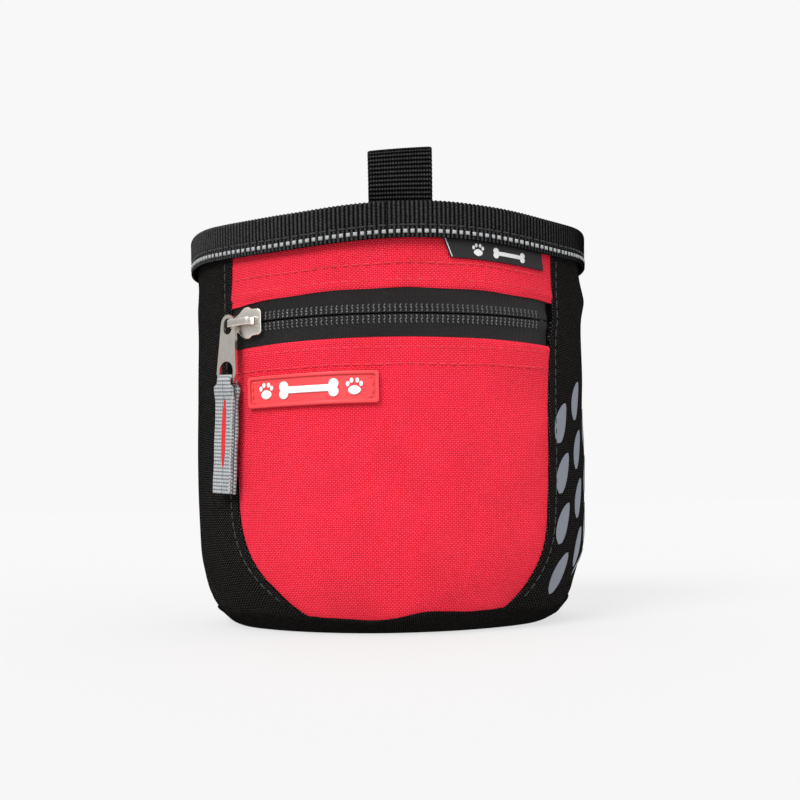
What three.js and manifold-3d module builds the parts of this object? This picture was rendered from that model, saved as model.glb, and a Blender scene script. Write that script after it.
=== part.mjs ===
// A round-cornered treat pouch in padded woven fabric, with a zipped front pocket, a stiffened and
// bound rim, a webbing hanging loop and a spring-steel belt clip on its back.
// Millimetres, +Z up. The origin is the middle of the underside, the front faces -Y.
//
// Plan angles are in degrees, measured from the front: 0 is the front, 90 the right side, 180 the back.
// An "offset" is a distance along the plan's outward normal, from the outline of the rim.

import * as THREE from 'three';
import { mergeVertices } from 'three/addons/utils/BufferGeometryUtils.js';
import Module from 'manifold-3d';

const wasm = await Module();
wasm.setup();

// ---------------------------------------------------------------- driving dimensions

const HEIGHT = 139;              // floor to the top of the bound rim
const HALF_WIDTH = 72.7;           // of the rim's outline
const DEPTH = 99.5;              // of the rim's outline, front to back
const FRONT_RADIUS = 80;         // the front of the plan is one arc, which the zip follows
const FRONT_REACH = 46;          // half angle of that arc
const BACK_RADIUS = 130;         // the back is a flatter arc
const BACK_REACH = 26.45;         // half angle of that arc
const GAP = 0.3;                 // left between pieces that touch

const WAIST = { sink: 2.7, z: 118 };           // the skin lies this far inside the rim, under it
const BELLY = { sink: 1.4, z: 50 };            // and bellies out a little at this height
const FOOT = { taper: 2.6, round: 12.5, z: 30 }; // it draws in towards the floor and rounds under

const SKIN = 1.2;                // outer fabric with its coating and seam allowance
const SEAM_Z = 7.3;              // where the walls are sewn to the base
const WALL_TOP = HEIGHT - 1.9;   // top edge of the wall's layers, inside the binding
const POCKET_EDGE = 43.2;        // half angle of the red front at the zip
const POCKET_BACK = { outer: 3.4, inner: 4.0, reach: 40, bottom: 36, top: 116 };
const FOAM = { outer: 1.6, frontOuter: 4.3, frontReach: 48, inner: 5.8, clear: 1, top: 117 };
const LINING = { outer: 6.1, rimOuter: 2.6, thickness: 0.7, gatherFrom: 118, gatherTo: 127 };

const BASE = { rise: [0, 1.2, 3.0], inset: 2.4, stiffener: [2.4, 4.2], lining: [5.4, 6.1] };

const ZIP = { z: 103.05, height: 16.5, reach: 42.4, slot: 1.2 };
const TAPE = { outer: 0.1, inner: 0.6 };       // depths behind the skin's surface
const COIL = { front: 0.9, back: 1.9, height: 2.1, reach: 40.6 };
const STOP = { start: 0.8, half: 2.2 };        // degrees past the coil's end, and half its height
const SLIDER = { angle: -36.4, length: 12.4, width: 11, lift: 0.25, plate: 1.4, post: 0.6 };
const REAR_PLATE = { half: 3.6, gap: 0.6, thickness: 0.5 };
const BAIL = { width: 2.4, leg: 1.4, under: 4.8, top: 5.7, legX: -5.9, rearX: 4.4 };
const TAB = { inner: 3.4, outer: 4.5, drop: 19.4, topHalf: 3.1, footHalf: 4.4, bar: 1.4, hang: -4 };
const TAB_HOLES = { ring: 1.85, ringSpan: 1.6, strap: 3.1, strapSide: 2.6 };
const PULL = { length: 38.5, width: 8.4, neck: 5.8, thickness: 2.1, eye: 1.2, wrap: 1.9 };
const STRIPE = { width: 1.5, length: 22, depth: 0.9, below: 6.6 };

const BADGE = { from: -36.1, to: -2.5, z: 79.8, height: 10.3, raise: 1.2, field: 0.6, rim: 1.1 };
const BONE = { halfSpan: 11.5, bar: 1.0, knob: 1.7, knobLength: 0.16 };
const LABEL = { from: 13, to: 41, top: 126.8, height: 5.6, lean: 1.8, thickness: 0.5 };
const RIM = { outerLeg: 1.9, top: 1.7, outer: 0.4, inner: 7.3, innerLeg: 1.0, drop: 11.9 };
const TRIM = { z: 129.0, height: 2.2, outer: 0.4, inner: -0.1 };
const HOOP = { outer: 4.2, inner: 5.0, bottom: 128 };
const LOOP = {
  x: 4.4, width: 20.6, bar: 1.4, half: 3.9, rise: 18.6, hingeZ: HEIGHT + 1, setBack: 9.0, tail: 125.4,
};
const CLIP = { width: 24, steel: 1.2, gap: 6.5, bottom: 60, bend: 110, flareZ: 71, flare: 3.4 };
const BACK_CUT = [30, 60];       // a range of y that takes in every layer of the back
const RIVET = { heights: [76, 100], head: 3.4, headThick: 0.9, shank: 1.5, hole: 1.9 };
const PATCH = { half: 8.6, bottom: 52, top: 117, thickness: 1.2 };

// ---------------------------------------------------------------- finishes

function finish(color, roughness, metalness = 0) {
  return new THREE.MeshStandardMaterial({ color, roughness, metalness });
}

const RED_FABRIC = finish(0xe01030, 0.8);
const BLACK_FABRIC = finish(0x18181a, 0.85);
const BLACK_WEBBING = finish(0x101012, 0.8);
const ZIP_TAPE = finish(0x1c1c1e, 0.45);
const COIL_NYLON = finish(0x0c0c0e, 0.4);
const STEEL = finish(0xb8b4ac, 0.35, 1);
const BLACK_STEEL = finish(0x202022, 0.45, 0.6);
const GREY_WEBBING = finish(0x8d9296, 0.8);
const RED_RUBBER = finish(0xe0283c, 0.55);
const WHITE_RUBBER = finish(0xf0f0f0, 0.5);
const REFLECTIVE = finish(0xc8ccd0, 0.4);
const LINING_CLOTH = finish(0x2a2a2e, 0.7);
const FOAM_SHEET = finish(0x3a3a3c, 0.95);
const STIFF_PLASTIC = finish(0x26262a, 0.6);

// ---------------------------------------------------------------- the plan and the profile

const radians = (degrees) => degrees * Math.PI / 180;
const sinOf = (degrees) => Math.sin(radians(degrees));
const cosOf = (degrees) => Math.cos(radians(degrees));

// Four arcs make half of the plan, tangent where they meet: front, front corner, back corner, back.
function planArcs() {
  const reach = sinOf(FRONT_REACH);
  const cornerRadius = (HALF_WIDTH - FRONT_RADIUS * reach) / (1 - reach);
  const backReach = sinOf(BACK_REACH);
  const rearRadius = (HALF_WIDTH - BACK_RADIUS * backReach) / (1 - backReach);
  const frontY = FRONT_RADIUS - DEPTH / 2;
  const cornerY = frontY - (FRONT_RADIUS - cornerRadius) * cosOf(FRONT_REACH);
  const backY = DEPTH / 2 - BACK_RADIUS;
  const rearY = backY + (BACK_RADIUS - rearRadius) * cosOf(BACK_REACH);
  return [
    { to: FRONT_REACH, radius: FRONT_RADIUS, x: 0, y: frontY },
    { to: 90, radius: cornerRadius, x: HALF_WIDTH - cornerRadius, y: cornerY },
    { to: 180 - BACK_REACH, radius: rearRadius, x: HALF_WIDTH - rearRadius, y: rearY },
    { to: 180, radius: BACK_RADIUS, x: 0, y: backY },
  ];
}

const ARCS = planArcs();
const ZIP_CENTRE_Y = ARCS[0].y;

function planPoint(angle, offset, z) {
  const turned = angle > 180 ? angle - 360 : angle;
  const side = Math.sign(turned) || 1;
  const arc = ARCS.find((one) => Math.abs(turned) <= one.to + 1e-6);
  const radius = arc.radius + offset;
  return [side * arc.x + radius * sinOf(turned), arc.y - radius * cosOf(turned), z];
}

// How far inside the rim's outline the outer skin lies at a height.
function skinSink(z) {
  const up = THREE.MathUtils.clamp((z - BELLY.z) / (WAIST.z - BELLY.z), 0, 1);
  const waist = (WAIST.sink - BELLY.sink) * (1 - Math.cos(Math.PI * up)) / 2;
  const down = Math.max(0, (BELLY.z - z) / BELLY.z);
  const low = Math.max(0, (FOOT.z - z) / FOOT.z);
  const round = FOOT.round * (1 - Math.sqrt(1 - low * low));
  return BELLY.sink + waist + FOOT.taper * down * down + round;
}

const skin = (depth) => (z) => -skinSink(z) - depth;

// The lining gathers towards the skin near the rim, above the foam.
function liningOffset(depth) {
  return (z) => {
    const rise = (z - LINING.gatherFrom) / (LINING.gatherTo - LINING.gatherFrom);
    const gather = THREE.MathUtils.clamp(rise, 0, 1);
    return skin(THREE.MathUtils.lerp(LINING.outer, LINING.rimOuter, gather) + depth)(z);
  };
}

// Half angle of the red front: a U whose sides draw in towards its rounded lower corners.
function frontEdge(z) {
  const cornerTop = 36;
  const cornerHeight = 30;
  const cornerDraw = 14;
  const sideDraw = 3;
  const low = THREE.MathUtils.clamp((cornerTop - z) / cornerHeight, 0, 0.999);
  const down = Math.max(0, 1 - z / ZIP.z);
  return POCKET_EDGE - sideDraw * down - cornerDraw * (1 - Math.sqrt(1 - low * low));
}

// ---------------------------------------------------------------- mesh builders

// Welds a list of quads over a list of points, and drops the triangles that fold to a line.
function weld(points, quads) {
  const raw = new THREE.BufferGeometry();
  raw.setAttribute('position', new THREE.Float32BufferAttribute(points.flat(), 3));
  raw.setIndex(quads.flatMap(([a, b, c, d]) => [a, b, c, a, c, d]));
  const welded = mergeVertices(raw, 1e-4);
  const index = welded.index.array;
  const kept = [];
  for (let i = 0; i < index.length; i += 3) {
    const [a, b, c] = [index[i], index[i + 1], index[i + 2]];
    if (a !== b && b !== c && c !== a) kept.push(a, b, c);
  }
  welded.setIndex(kept);
  return welded;
}

// A closed slab over a grid. place(column, row, isOuter) gives a point; columns run to the right and
// rows upwards as seen from outside. A wrapped slab runs all the way round.
function slab(columns, rows, place, wrapped = false) {
  const across = columns + 1;
  const points = [];
  for (const isOuter of [true, false]) {
    for (let r = 0; r <= rows; r += 1) {
      for (let c = 0; c <= columns; c += 1) points.push(place(c, r, isOuter));
    }
  }
  const outer = (c, r) => r * across + c;
  const inner = (c, r) => (rows + 1) * across + outer(c, r);
  const quads = [];
  for (let c = 0; c < columns; c += 1) {
    for (let r = 0; r < rows; r += 1) {
      quads.push([outer(c, r), outer(c + 1, r), outer(c + 1, r + 1), outer(c, r + 1)]);
      quads.push([inner(c, r), inner(c, r + 1), inner(c + 1, r + 1), inner(c + 1, r)]);
    }
    quads.push([outer(c, 0), inner(c, 0), inner(c + 1, 0), outer(c + 1, 0)]);
    quads.push([outer(c, rows), outer(c + 1, rows), inner(c + 1, rows), inner(c, rows)]);
  }
  for (let r = 0; r < rows && !wrapped; r += 1) {
    quads.push([outer(0, r), outer(0, r + 1), inner(0, r + 1), inner(0, r)]);
    quads.push([outer(columns, r), inner(columns, r), inner(columns, r + 1), outer(columns, r + 1)]);
  }
  return weld(points, quads);
}

// The heights that every wall layer shares, so that nested layers stay parallel: closer together near
// the floor, where the wall rounds under, and two where the lining starts and ends its gather.
const SPACED = Array.from({ length: 7 }, (_, k) => SEAM_Z + (WALL_TOP - SEAM_Z) * (k / 7) ** 1.5);
const LEVELS = [...SPACED, LINING.gatherFrom, LINING.gatherTo].sort((a, b) => a - b);

function heights(bottom, top) {
  const clear = 1.0;              // a level closer than this to an end is left out
  return [bottom, ...LEVELS.filter((z) => z > bottom + clear && z < top - clear), top];
}

// Angles from one end to the other: both ends, and every multiple of the step between them.
function angles(from, to, step) {
  const list = [from];
  for (let k = Math.floor(from / step) + 1; k * step < to - 1e-3; k += 1) {
    if (k * step > from + 1e-3) list.push(k * step);
  }
  list.push(to);
  return list;
}

// A wall piece between two fixed angles; outer and inner give the offsets of its faces.
function wall({ from, to, bottom, top, outer, inner, step = 4 }) {
  const across = angles(from, to, step);
  const up = heights(bottom, top);
  const place = (c, r, isOuter) => planPoint(across[c], (isOuter ? outer : inner)(up[r], across[c]), up[r]);
  return slab(across.length - 1, up.length - 1, place, to - from === 360);
}

// A wall piece whose two side edges are functions of the height.
function shapedWall({ left, right, bottom, top, outer, inner, columns }) {
  const up = heights(bottom, top);
  const place = (c, r, isOuter) => {
    const z = up[r];
    const angle = THREE.MathUtils.lerp(left(z), right(z), c / columns);
    return planPoint(angle, (isOuter ? outer : inner)(z), z);
  };
  return slab(columns, up.length - 1, place);
}

// A closed section, counter-clockwise in (offset, z), swept round the whole plan.
function ring(section, step = 8) {
  const columns = 360 / step;
  const points = [];
  for (let c = 0; c < columns; c += 1) {
    for (const [offset, z] of section) points.push(planPoint(c * step, offset, z));
  }
  const at = (c, k) => (c % columns) * section.length + (k % section.length);
  const quads = [];
  for (let c = 0; c < columns; c += 1) {
    for (let k = 0; k < section.length; k += 1) {
      quads.push([at(c, k), at(c + 1, k), at(c + 1, k + 1), at(c, k + 1)]);
    }
  }
  return weld(points, quads);
}

// A dish over the whole plan: lower and upper list [offset, z] from the middle's edge outwards.
function dish(lower, upper, step = 8) {
  const columns = 360 / step;
  const place = (c, r, isOuter) => {
    const path = isOuter ? lower : upper;
    if (r === 0) return [0, 0, path[0][1]];
    return planPoint(c * step, path[r - 1][0], path[r - 1][1]);
  };
  return slab(columns, lower.length, place, true);
}

// Extrusions of a shape along each axis. Along X the shape lies in (y, z), along Y in (x, z).
function extrudeX(shape, x0, x1, curveSegments = 8) {
  const geometry = new THREE.ExtrudeGeometry(shape, { depth: x1 - x0, bevelEnabled: false, curveSegments });
  const axes = new THREE.Matrix4().set(0, 0, 1, x0, 1, 0, 0, 0, 0, 1, 0, 0, 0, 0, 0, 1);
  return geometry.applyMatrix4(axes);
}

function extrudeY(shape, y0, y1, curveSegments = 8) {
  const geometry = new THREE.ExtrudeGeometry(shape, { depth: y1 - y0, bevelEnabled: false, curveSegments });
  const axes = new THREE.Matrix4().set(1, 0, 0, 0, 0, 0, -1, y1, 0, 1, 0, 0, 0, 0, 0, 1);
  return geometry.applyMatrix4(axes);
}

function extrudeZ(shape, z0, z1, curveSegments = 8) {
  const geometry = new THREE.ExtrudeGeometry(shape, { depth: z1 - z0, bevelEnabled: false, curveSegments });
  return geometry.translate(0, 0, z0);
}

const polygon = (points) => new THREE.Shape(points.map(([a, b]) => new THREE.Vector2(a, b)));

function box(x0, x1, y0, y1, z0, z1) {
  const geometry = new THREE.BoxGeometry(x1 - x0, y1 - y0, z1 - z0);
  return geometry.translate((x0 + x1) / 2, (y0 + y1) / 2, (z0 + z1) / 2);
}

// ---------------------------------------------------------------- joining and cutting

function toManifold(geometry) {
  const bare = geometry.clone();
  bare.deleteAttribute('normal');
  bare.deleteAttribute('uv');
  const merged = mergeVertices(bare, 1e-4);
  const mesh = { numProp: 3, vertProperties: new Float32Array(merged.attributes.position.array) };
  mesh.triVerts = new Uint32Array(merged.index.array);
  return new wasm.Manifold(new wasm.Mesh(mesh));
}

function fromManifold(body) {
  const mesh = body.getMesh();
  const geometry = new THREE.BufferGeometry();
  geometry.setAttribute('position', new THREE.BufferAttribute(new Float32Array(mesh.vertProperties), 3));
  geometry.setIndex(new THREE.BufferAttribute(new Uint32Array(mesh.triVerts), 1));
  return geometry;
}

function cut(geometry, ...tools) {
  return fromManifold(tools.reduce((body, tool) => body.subtract(toManifold(tool)), toManifold(geometry)));
}

const common = (one, other) => fromManifold(toManifold(one).intersect(toManifold(other)));

// ---------------------------------------------------------------- the assembly

const pouch = new THREE.Group();

function add(name, geometry, material, parent = pouch) {
  const mesh = new THREE.Mesh(geometry, material);
  mesh.name = name;
  parent.add(mesh);
}

// ---- outer fabric panels

const zipTop = ZIP.z + ZIP.height / 2;
const zipBottom = ZIP.z - ZIP.height / 2;
const edgeGap = 0.45;            // degrees between two panels' edges
const sideBack = 132;            // angle of the seams between the sides and the back

function addFrontPanels() {
  add('front_upper_panel', wall({
    from: -POCKET_EDGE, to: POCKET_EDGE, bottom: zipTop + GAP, top: WALL_TOP,
    outer: skin(0), inner: skin(SKIN),
  }), RED_FABRIC);
  add('front_lower_panel', shapedWall({
    left: (z) => -frontEdge(z), right: frontEdge, bottom: SEAM_Z, top: zipBottom - GAP,
    outer: skin(0), inner: skin(SKIN), columns: 22,
  }), RED_FABRIC);
  add('pocket_back_panel', wall({
    from: -POCKET_BACK.reach, to: POCKET_BACK.reach, bottom: POCKET_BACK.bottom, top: POCKET_BACK.top,
    outer: skin(POCKET_BACK.outer), inner: skin(POCKET_BACK.inner),
  }), LINING_CLOTH);
}

function addSidePanels() {
  const shared = { bottom: SEAM_Z, top: WALL_TOP, outer: skin(0), inner: skin(SKIN), columns: 13 };
  const frontOf = (z) => Math.min(frontEdge(z), POCKET_EDGE) + edgeGap;
  add('side_panel_right', shapedWall({
    left: frontOf, right: () => sideBack - edgeGap, ...shared,
  }), BLACK_FABRIC);
  add('side_panel_left', shapedWall({
    left: () => edgeGap - sideBack, right: (z) => -frontOf(z), ...shared,
  }), BLACK_FABRIC);
}

const backFace = DEPTH / 2 - BELLY.sink;         // y of the back skin where it bellies most
const clipFace = backFace + GAP + PATCH.thickness + GAP;

function cylinderY(radius, y0, y1, z) {
  const geometry = new THREE.CylinderGeometry(radius, radius, y1 - y0, 20);
  return geometry.translate(0, (y0 + y1) / 2, z);
}

// A hole along Y through the whole back at each rivet.
const rivetHoles = (radius) => RIVET.heights.map((z) => cylinderY(radius, ...BACK_CUT, z));

function addBackPanel() {
  const panel = wall({
    from: sideBack, to: 360 - sideBack, bottom: SEAM_Z, top: WALL_TOP,
    outer: skin(0), inner: skin(SKIN), step: 6,
  });
  add('back_panel', cut(panel, ...rivetHoles(RIVET.hole)), BLACK_FABRIC);
}

// ---- padding, lining and base

function addFoam() {
  const outer = (z, angle) => {
    const turned = angle > 180 ? angle - 360 : angle;
    return skin(Math.abs(turned) < FOAM.frontReach ? FOAM.frontOuter : FOAM.outer)(z);
  };
  const foam = wall({
    from: 0, to: 360, bottom: SEAM_Z + FOAM.clear, top: FOAM.top,
    outer, inner: skin(FOAM.inner), step: 8,
  });
  add('foam_wall', cut(foam, ...rivetHoles(RIVET.head + GAP)), FOAM_SHEET);
}

function addLining() {
  add('lining_wall', wall({
    from: 0, to: 360, bottom: SEAM_Z, top: WALL_TOP,
    outer: liningOffset(0), inner: liningOffset(LINING.thickness), step: 8,
  }), LINING_CLOTH);
  const edge = -skinSink(SEAM_Z) - LINING.outer;
  add('lining_base', dish([[edge, BASE.lining[0]]], [[edge, BASE.lining[1]]]), LINING_CLOTH);
}

function addBase() {
  const rise = [...BASE.rise, SEAM_Z - GAP];
  const lower = rise.map((z) => [-skinSink(z), z]);
  const upper = rise.map((z) => [-skinSink(z) - SKIN, z + (SKIN - GAP) * (1 - z / SEAM_Z)]);
  upper[rise.length - 1][1] = lower[rise.length - 1][1];
  add('base_panel', dish(lower, upper), BLACK_FABRIC);
  const [low, high] = BASE.stiffener;
  const edge = -skinSink(BASE.rise[1]) - BASE.inset;
  add('base_stiffener', dish([[edge, low]], [[edge, high]]), STIFF_PLASTIC);
}

// ---- rim

function addRim() {
  const bottom = HEIGHT - RIM.drop;
  const roof = HEIGHT - RIM.top;
  const outerLeg = -RIM.outer - RIM.outerLeg;
  const innerLeg = -RIM.inner + RIM.innerLeg;
  const chamfer = 0.8;
  add('rim_binding', ring([
    [outerLeg, bottom], [-RIM.outer, bottom], [-RIM.outer, HEIGHT - chamfer], [-RIM.outer - chamfer, HEIGHT],
    [-RIM.inner + chamfer, HEIGHT], [-RIM.inner, HEIGHT - chamfer], [-RIM.inner, bottom], [innerLeg, bottom],
    [innerLeg, roof], [outerLeg, roof],
  ]), BLACK_WEBBING);
  const low = TRIM.z - TRIM.height / 2;
  add('reflective_trim', ring([
    [TRIM.inner, low], [TRIM.outer, low], [TRIM.outer, low + TRIM.height], [TRIM.inner, low + TRIM.height],
  ]), REFLECTIVE);
  add('rim_hoop', ring([
    [-HOOP.inner, HOOP.bottom], [-HOOP.outer, HOOP.bottom],
    [-HOOP.outer, WALL_TOP - GAP], [-HOOP.inner, WALL_TOP - GAP],
  ]), STIFF_PLASTIC);
}

// ---- zip

function addZip() {
  const half = ZIP.slot / 2;
  const strips = { upper: [ZIP.z + half, zipTop], lower: [zipBottom, ZIP.z - half] };
  for (const [name, [bottom, top]] of Object.entries(strips)) {
    add(`zipper_tape_${name}`, wall({
      from: -ZIP.reach, to: ZIP.reach, bottom, top, outer: skin(TAPE.outer), inner: skin(TAPE.inner),
    }), ZIP_TAPE);
    const low = name === 'upper' ? bottom : top - COIL.height;
    add(`zipper_coil_${name}`, wall({
      from: -COIL.reach, to: COIL.reach, bottom: low, top: low + COIL.height,
      outer: skin(COIL.front), inner: skin(COIL.back),
    }), COIL_NYLON);
  }
  for (const [name, side] of [['left', -1], ['right', 1]]) {
    const near = side * (COIL.reach + STOP.start);
    const far = side * ZIP.reach;
    add(`zipper_stop_${name}`, wall({
      from: Math.min(near, far), to: Math.max(near, far), bottom: ZIP.z - STOP.half, top: ZIP.z + STOP.half,
      outer: skin(COIL.front), inner: skin(COIL.back),
    }), STEEL);
  }
}

// ---- slider and pull, built about the zip's arc centre with local -Y pointing out of the pouch

const zipRadius = FRONT_RADIUS - skinSink(ZIP.z);
const outward = (lift) => -(zipRadius + lift);

function sliderBody() {
  const halfPost = SLIDER.post / 2;
  const plateFront = outward(SLIDER.lift + SLIDER.plate);
  const plateBack = outward(SLIDER.lift);
  const rearFront = outward(-COIL.back - REAR_PLATE.gap);
  const rearBack = outward(-COIL.back - REAR_PLATE.gap - REAR_PLATE.thickness);
  const wide = SLIDER.width / 2 + 1;
  const rearWide = REAR_PLATE.half;
  const section = polygon([
    [plateFront, ZIP.z - wide], [plateBack, ZIP.z - wide], [plateBack, ZIP.z - halfPost],
    [rearFront, ZIP.z - halfPost], [rearFront, ZIP.z - rearWide], [rearBack, ZIP.z - rearWide],
    [rearBack, ZIP.z + rearWide], [rearFront, ZIP.z + rearWide], [rearFront, ZIP.z + halfPost],
    [plateBack, ZIP.z + halfPost], [plateBack, ZIP.z + wide], [plateFront, ZIP.z + wide],
  ]);
  const nose = -SLIDER.length / 2;
  const half = [
    [nose, 2.2], [nose + 3.8, 3.4], [nose + 5.8, 5.5], [nose + 8, 4.5], [-nose - 0.5, 4.3], [-nose, 3.8],
  ];
  const outline = polygon([
    ...half.map(([x, z]) => [x, ZIP.z - z]), ...half.reverse().map(([x, z]) => [x, ZIP.z + z]),
  ]);
  return common(extrudeX(section, nose - 1, 1 - nose), extrudeY(outline, outward(6), outward(-6)));
}

function sliderBail() {
  const foot = outward(SLIDER.lift + SLIDER.plate + GAP);
  const under = outward(BAIL.under);
  const top = outward(BAIL.top);
  const left = BAIL.legX - BAIL.leg / 2;
  const right = BAIL.rearX + BAIL.leg / 2;
  const arch = polygon([
    [left, foot], [left, top + 1.2], [left + 1.2, top], [right - 1.2, top], [right, top + 1.2], [right, foot],
    [right - BAIL.leg, foot], [right - BAIL.leg, under], [left + BAIL.leg, under], [left + BAIL.leg, foot],
  ]);
  return extrudeZ(arch, ZIP.z - BAIL.width / 2, ZIP.z + BAIL.width / 2);
}

// The tab, about its own ring: x across it, z along it, hanging down.
function pullTab() {
  const foot = -TAB.drop;
  const outline = new THREE.Shape();
  outline.moveTo(-TAB.footHalf + 1.2, foot);
  outline.lineTo(TAB.footHalf - 1.2, foot);
  outline.lineTo(TAB.footHalf, foot + 3);
  outline.lineTo(TAB.topHalf, 0);
  outline.absarc(0, 0, TAB.topHalf, 0, Math.PI, false);
  outline.lineTo(-TAB.footHalf, foot + 3);
  const ringHole = new THREE.Path();
  ringHole.absarc(0, 0, TAB_HOLES.ring, 0, Math.PI, false);
  ringHole.absarc(0, -TAB_HOLES.ringSpan, TAB_HOLES.ring, Math.PI, 2 * Math.PI, false);
  const strapHole = new THREE.Path();
  const strap = TAB_HOLES.strap;
  strapHole.moveTo(-strap, foot + TAB.bar);
  strapHole.lineTo(strap, foot + TAB.bar);
  strapHole.absarc(0, foot + TAB.bar + TAB_HOLES.strapSide, strap, 0, Math.PI, false);
  outline.holes.push(ringHole, strapHole);
  return extrudeY(outline, -TAB.outer, -TAB.inner, 6);
}

const tabMiddle = (TAB.inner + TAB.outer) / 2;
const barZ = -TAB.drop + TAB.bar / 2;

// The folded webbing: its fold passes round the tab's lower bar, and both layers hang together.
function pullWebbing() {
  const bottom = barZ - PULL.length;
  const half = PULL.thickness / 2;
  const section = new THREE.Shape();
  section.moveTo(-tabMiddle - half, bottom);
  section.lineTo(-tabMiddle + half, bottom);
  section.lineTo(-tabMiddle + half, barZ - 2.2);
  section.lineTo(-tabMiddle + PULL.wrap, barZ);
  section.absarc(-tabMiddle, barZ, PULL.wrap, 0, Math.PI, false);
  section.lineTo(-tabMiddle - half, barZ - 2.2);
  const eye = new THREE.Path();
  eye.absarc(-tabMiddle, barZ, PULL.eye, 0, 2 * Math.PI, false);
  section.holes.push(eye);
  const neck = PULL.neck / 2;
  const wide = PULL.width / 2;
  const shoulder = barZ - 3.2;
  const front = polygon([
    [-wide, bottom - 1], [wide, bottom - 1], [wide, shoulder - 1.2],
    [neck, shoulder], [neck, barZ + 4], [-neck, barZ + 4], [-neck, shoulder], [-wide, shoulder - 1.2],
  ]);
  const strap = common(extrudeX(section, -6, 6, 6), extrudeY(front, -9, 0));
  const face = -tabMiddle - half;
  const slit = STRIPE.width / 2 + GAP;
  const top = barZ - STRIPE.below;
  return cut(strap, box(-slit, slit, face - 1, face + STRIPE.depth, top - STRIPE.length - GAP, top + GAP));
}

function pullStripe() {
  const face = -tabMiddle - PULL.thickness / 2;
  const top = barZ - STRIPE.below;
  const half = STRIPE.width / 2;
  return box(-half, half, face + 0.1, face + STRIPE.depth - GAP, top - STRIPE.length, top);
}

function addSliderAndPull() {
  const slider = new THREE.Group();
  slider.position.set(0, ZIP_CENTRE_Y, 0);
  slider.rotation.z = radians(SLIDER.angle);
  add('slider_body', sliderBody(), STEEL, slider);
  add('slider_bail', sliderBail(), STEEL, slider);
  const pull = new THREE.Group();
  pull.position.set(BAIL.legX, outward(0), ZIP.z);
  pull.rotation.y = radians(-TAB.hang);
  add('pull_tab', pullTab(), STEEL, pull);
  add('pull_webbing', pullWebbing(), GREY_WEBBING, pull);
  add('pull_stripe', pullStripe(), RED_FABRIC, pull);
  slider.add(pull);
  pouch.add(slider);
}

// ---- badge and label

function addBadge() {
  const low = BADGE.z - BADGE.height / 2;
  const high = BADGE.z + BADGE.height / 2;
  const plate = wall({
    from: BADGE.from, to: BADGE.to, bottom: low, top: high,
    outer: skin(-BADGE.raise), inner: skin(-GAP),
  });
  const inset = BADGE.rim / zipRadius * 180 / Math.PI;
  const field = wall({
    from: BADGE.from + inset, to: BADGE.to - inset, bottom: low + BADGE.rim, top: high - BADGE.rim,
    outer: skin(-3), inner: skin(-BADGE.field),
  });
  add('rubber_patch', cut(plate, field), RED_RUBBER);

  // A plain bone: two knobbed ends joined by a bar.
  const columns = 24;
  const middle = (BADGE.from + BADGE.to) / 2;
  const halfHeight = (u) => {
    const fromKnob = (Math.abs(2 * u - 1) - (1 - BONE.knobLength)) / BONE.knobLength;
    return BONE.bar + BONE.knob * Math.sqrt(Math.max(0, 1 - fromKnob ** 2));
  };
  const place = (c, r, isOuter) => {
    const u = c / columns;
    const z = BADGE.z + (r - 0.5) * 2 * halfHeight(u);
    const lift = isOuter ? BADGE.raise : BADGE.field + GAP;
    return planPoint(middle + (2 * u - 1) * BONE.halfSpan, -skinSink(z) + lift, z);
  };
  add('patch_emblem', slab(columns, 1, place), WHITE_RUBBER);
}

function addLabel() {
  const slant = (z) => LABEL.lean * (LABEL.top - z) / LABEL.height;
  add('side_label', shapedWall({
    left: (z) => LABEL.from + slant(z), right: (z) => LABEL.to + slant(z) / 2,
    bottom: LABEL.top - LABEL.height, top: LABEL.top,
    outer: skin(-GAP - LABEL.thickness), inner: skin(-GAP), columns: 8,
  }), BLACK_WEBBING);
}

// ---- hanging loop

function addLoop() {
  const reach = LOOP.width / 2 / (FRONT_RADIUS - RIM.inner) * 180 / Math.PI;
  const centre = LOOP.x / FRONT_RADIUS * 180 / Math.PI;
  add('loop_tail', wall({
    from: centre - reach, to: centre + reach, bottom: LOOP.tail, top: HEIGHT - GAP,
    outer: () => -RIM.inner - GAP, inner: () => -RIM.inner - GAP - 2 * LOOP.bar,
  }), BLACK_WEBBING);

  // A teardrop of webbing that narrows to its root, where it bends.
  const y = LOOP.setBack - DEPTH / 2;
  const root = LOOP.hingeZ + 0.25;
  const top = HEIGHT + LOOP.rise;
  const centreZ = top - LOOP.half;
  const outline = new THREE.Shape();
  outline.moveTo(y - 0.2, root);
  outline.lineTo(y + 0.2, root);
  outline.lineTo(y + LOOP.bar, root + 1.2);
  outline.lineTo(y + LOOP.half, root + 5.4);
  outline.lineTo(y + LOOP.half, centreZ);
  outline.absarc(y, centreZ, LOOP.half, 0, Math.PI, false);
  outline.lineTo(y - LOOP.half, root + 5.4);
  outline.lineTo(y - LOOP.bar, root + 1.2);
  const inside = LOOP.half - LOOP.bar;
  const hole = new THREE.Path();
  hole.moveTo(y, root + 2.2);
  hole.lineTo(y + inside, root + 5.6);
  hole.lineTo(y + inside, centreZ);
  hole.absarc(y, centreZ, inside, 0, Math.PI, false);
  hole.lineTo(y - inside, root + 5.6);
  outline.holes.push(hole);
  add('top_loop', extrudeX(outline, LOOP.x - LOOP.width / 2, LOOP.x + LOOP.width / 2), BLACK_WEBBING);
}

// ---- belt clip

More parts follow.
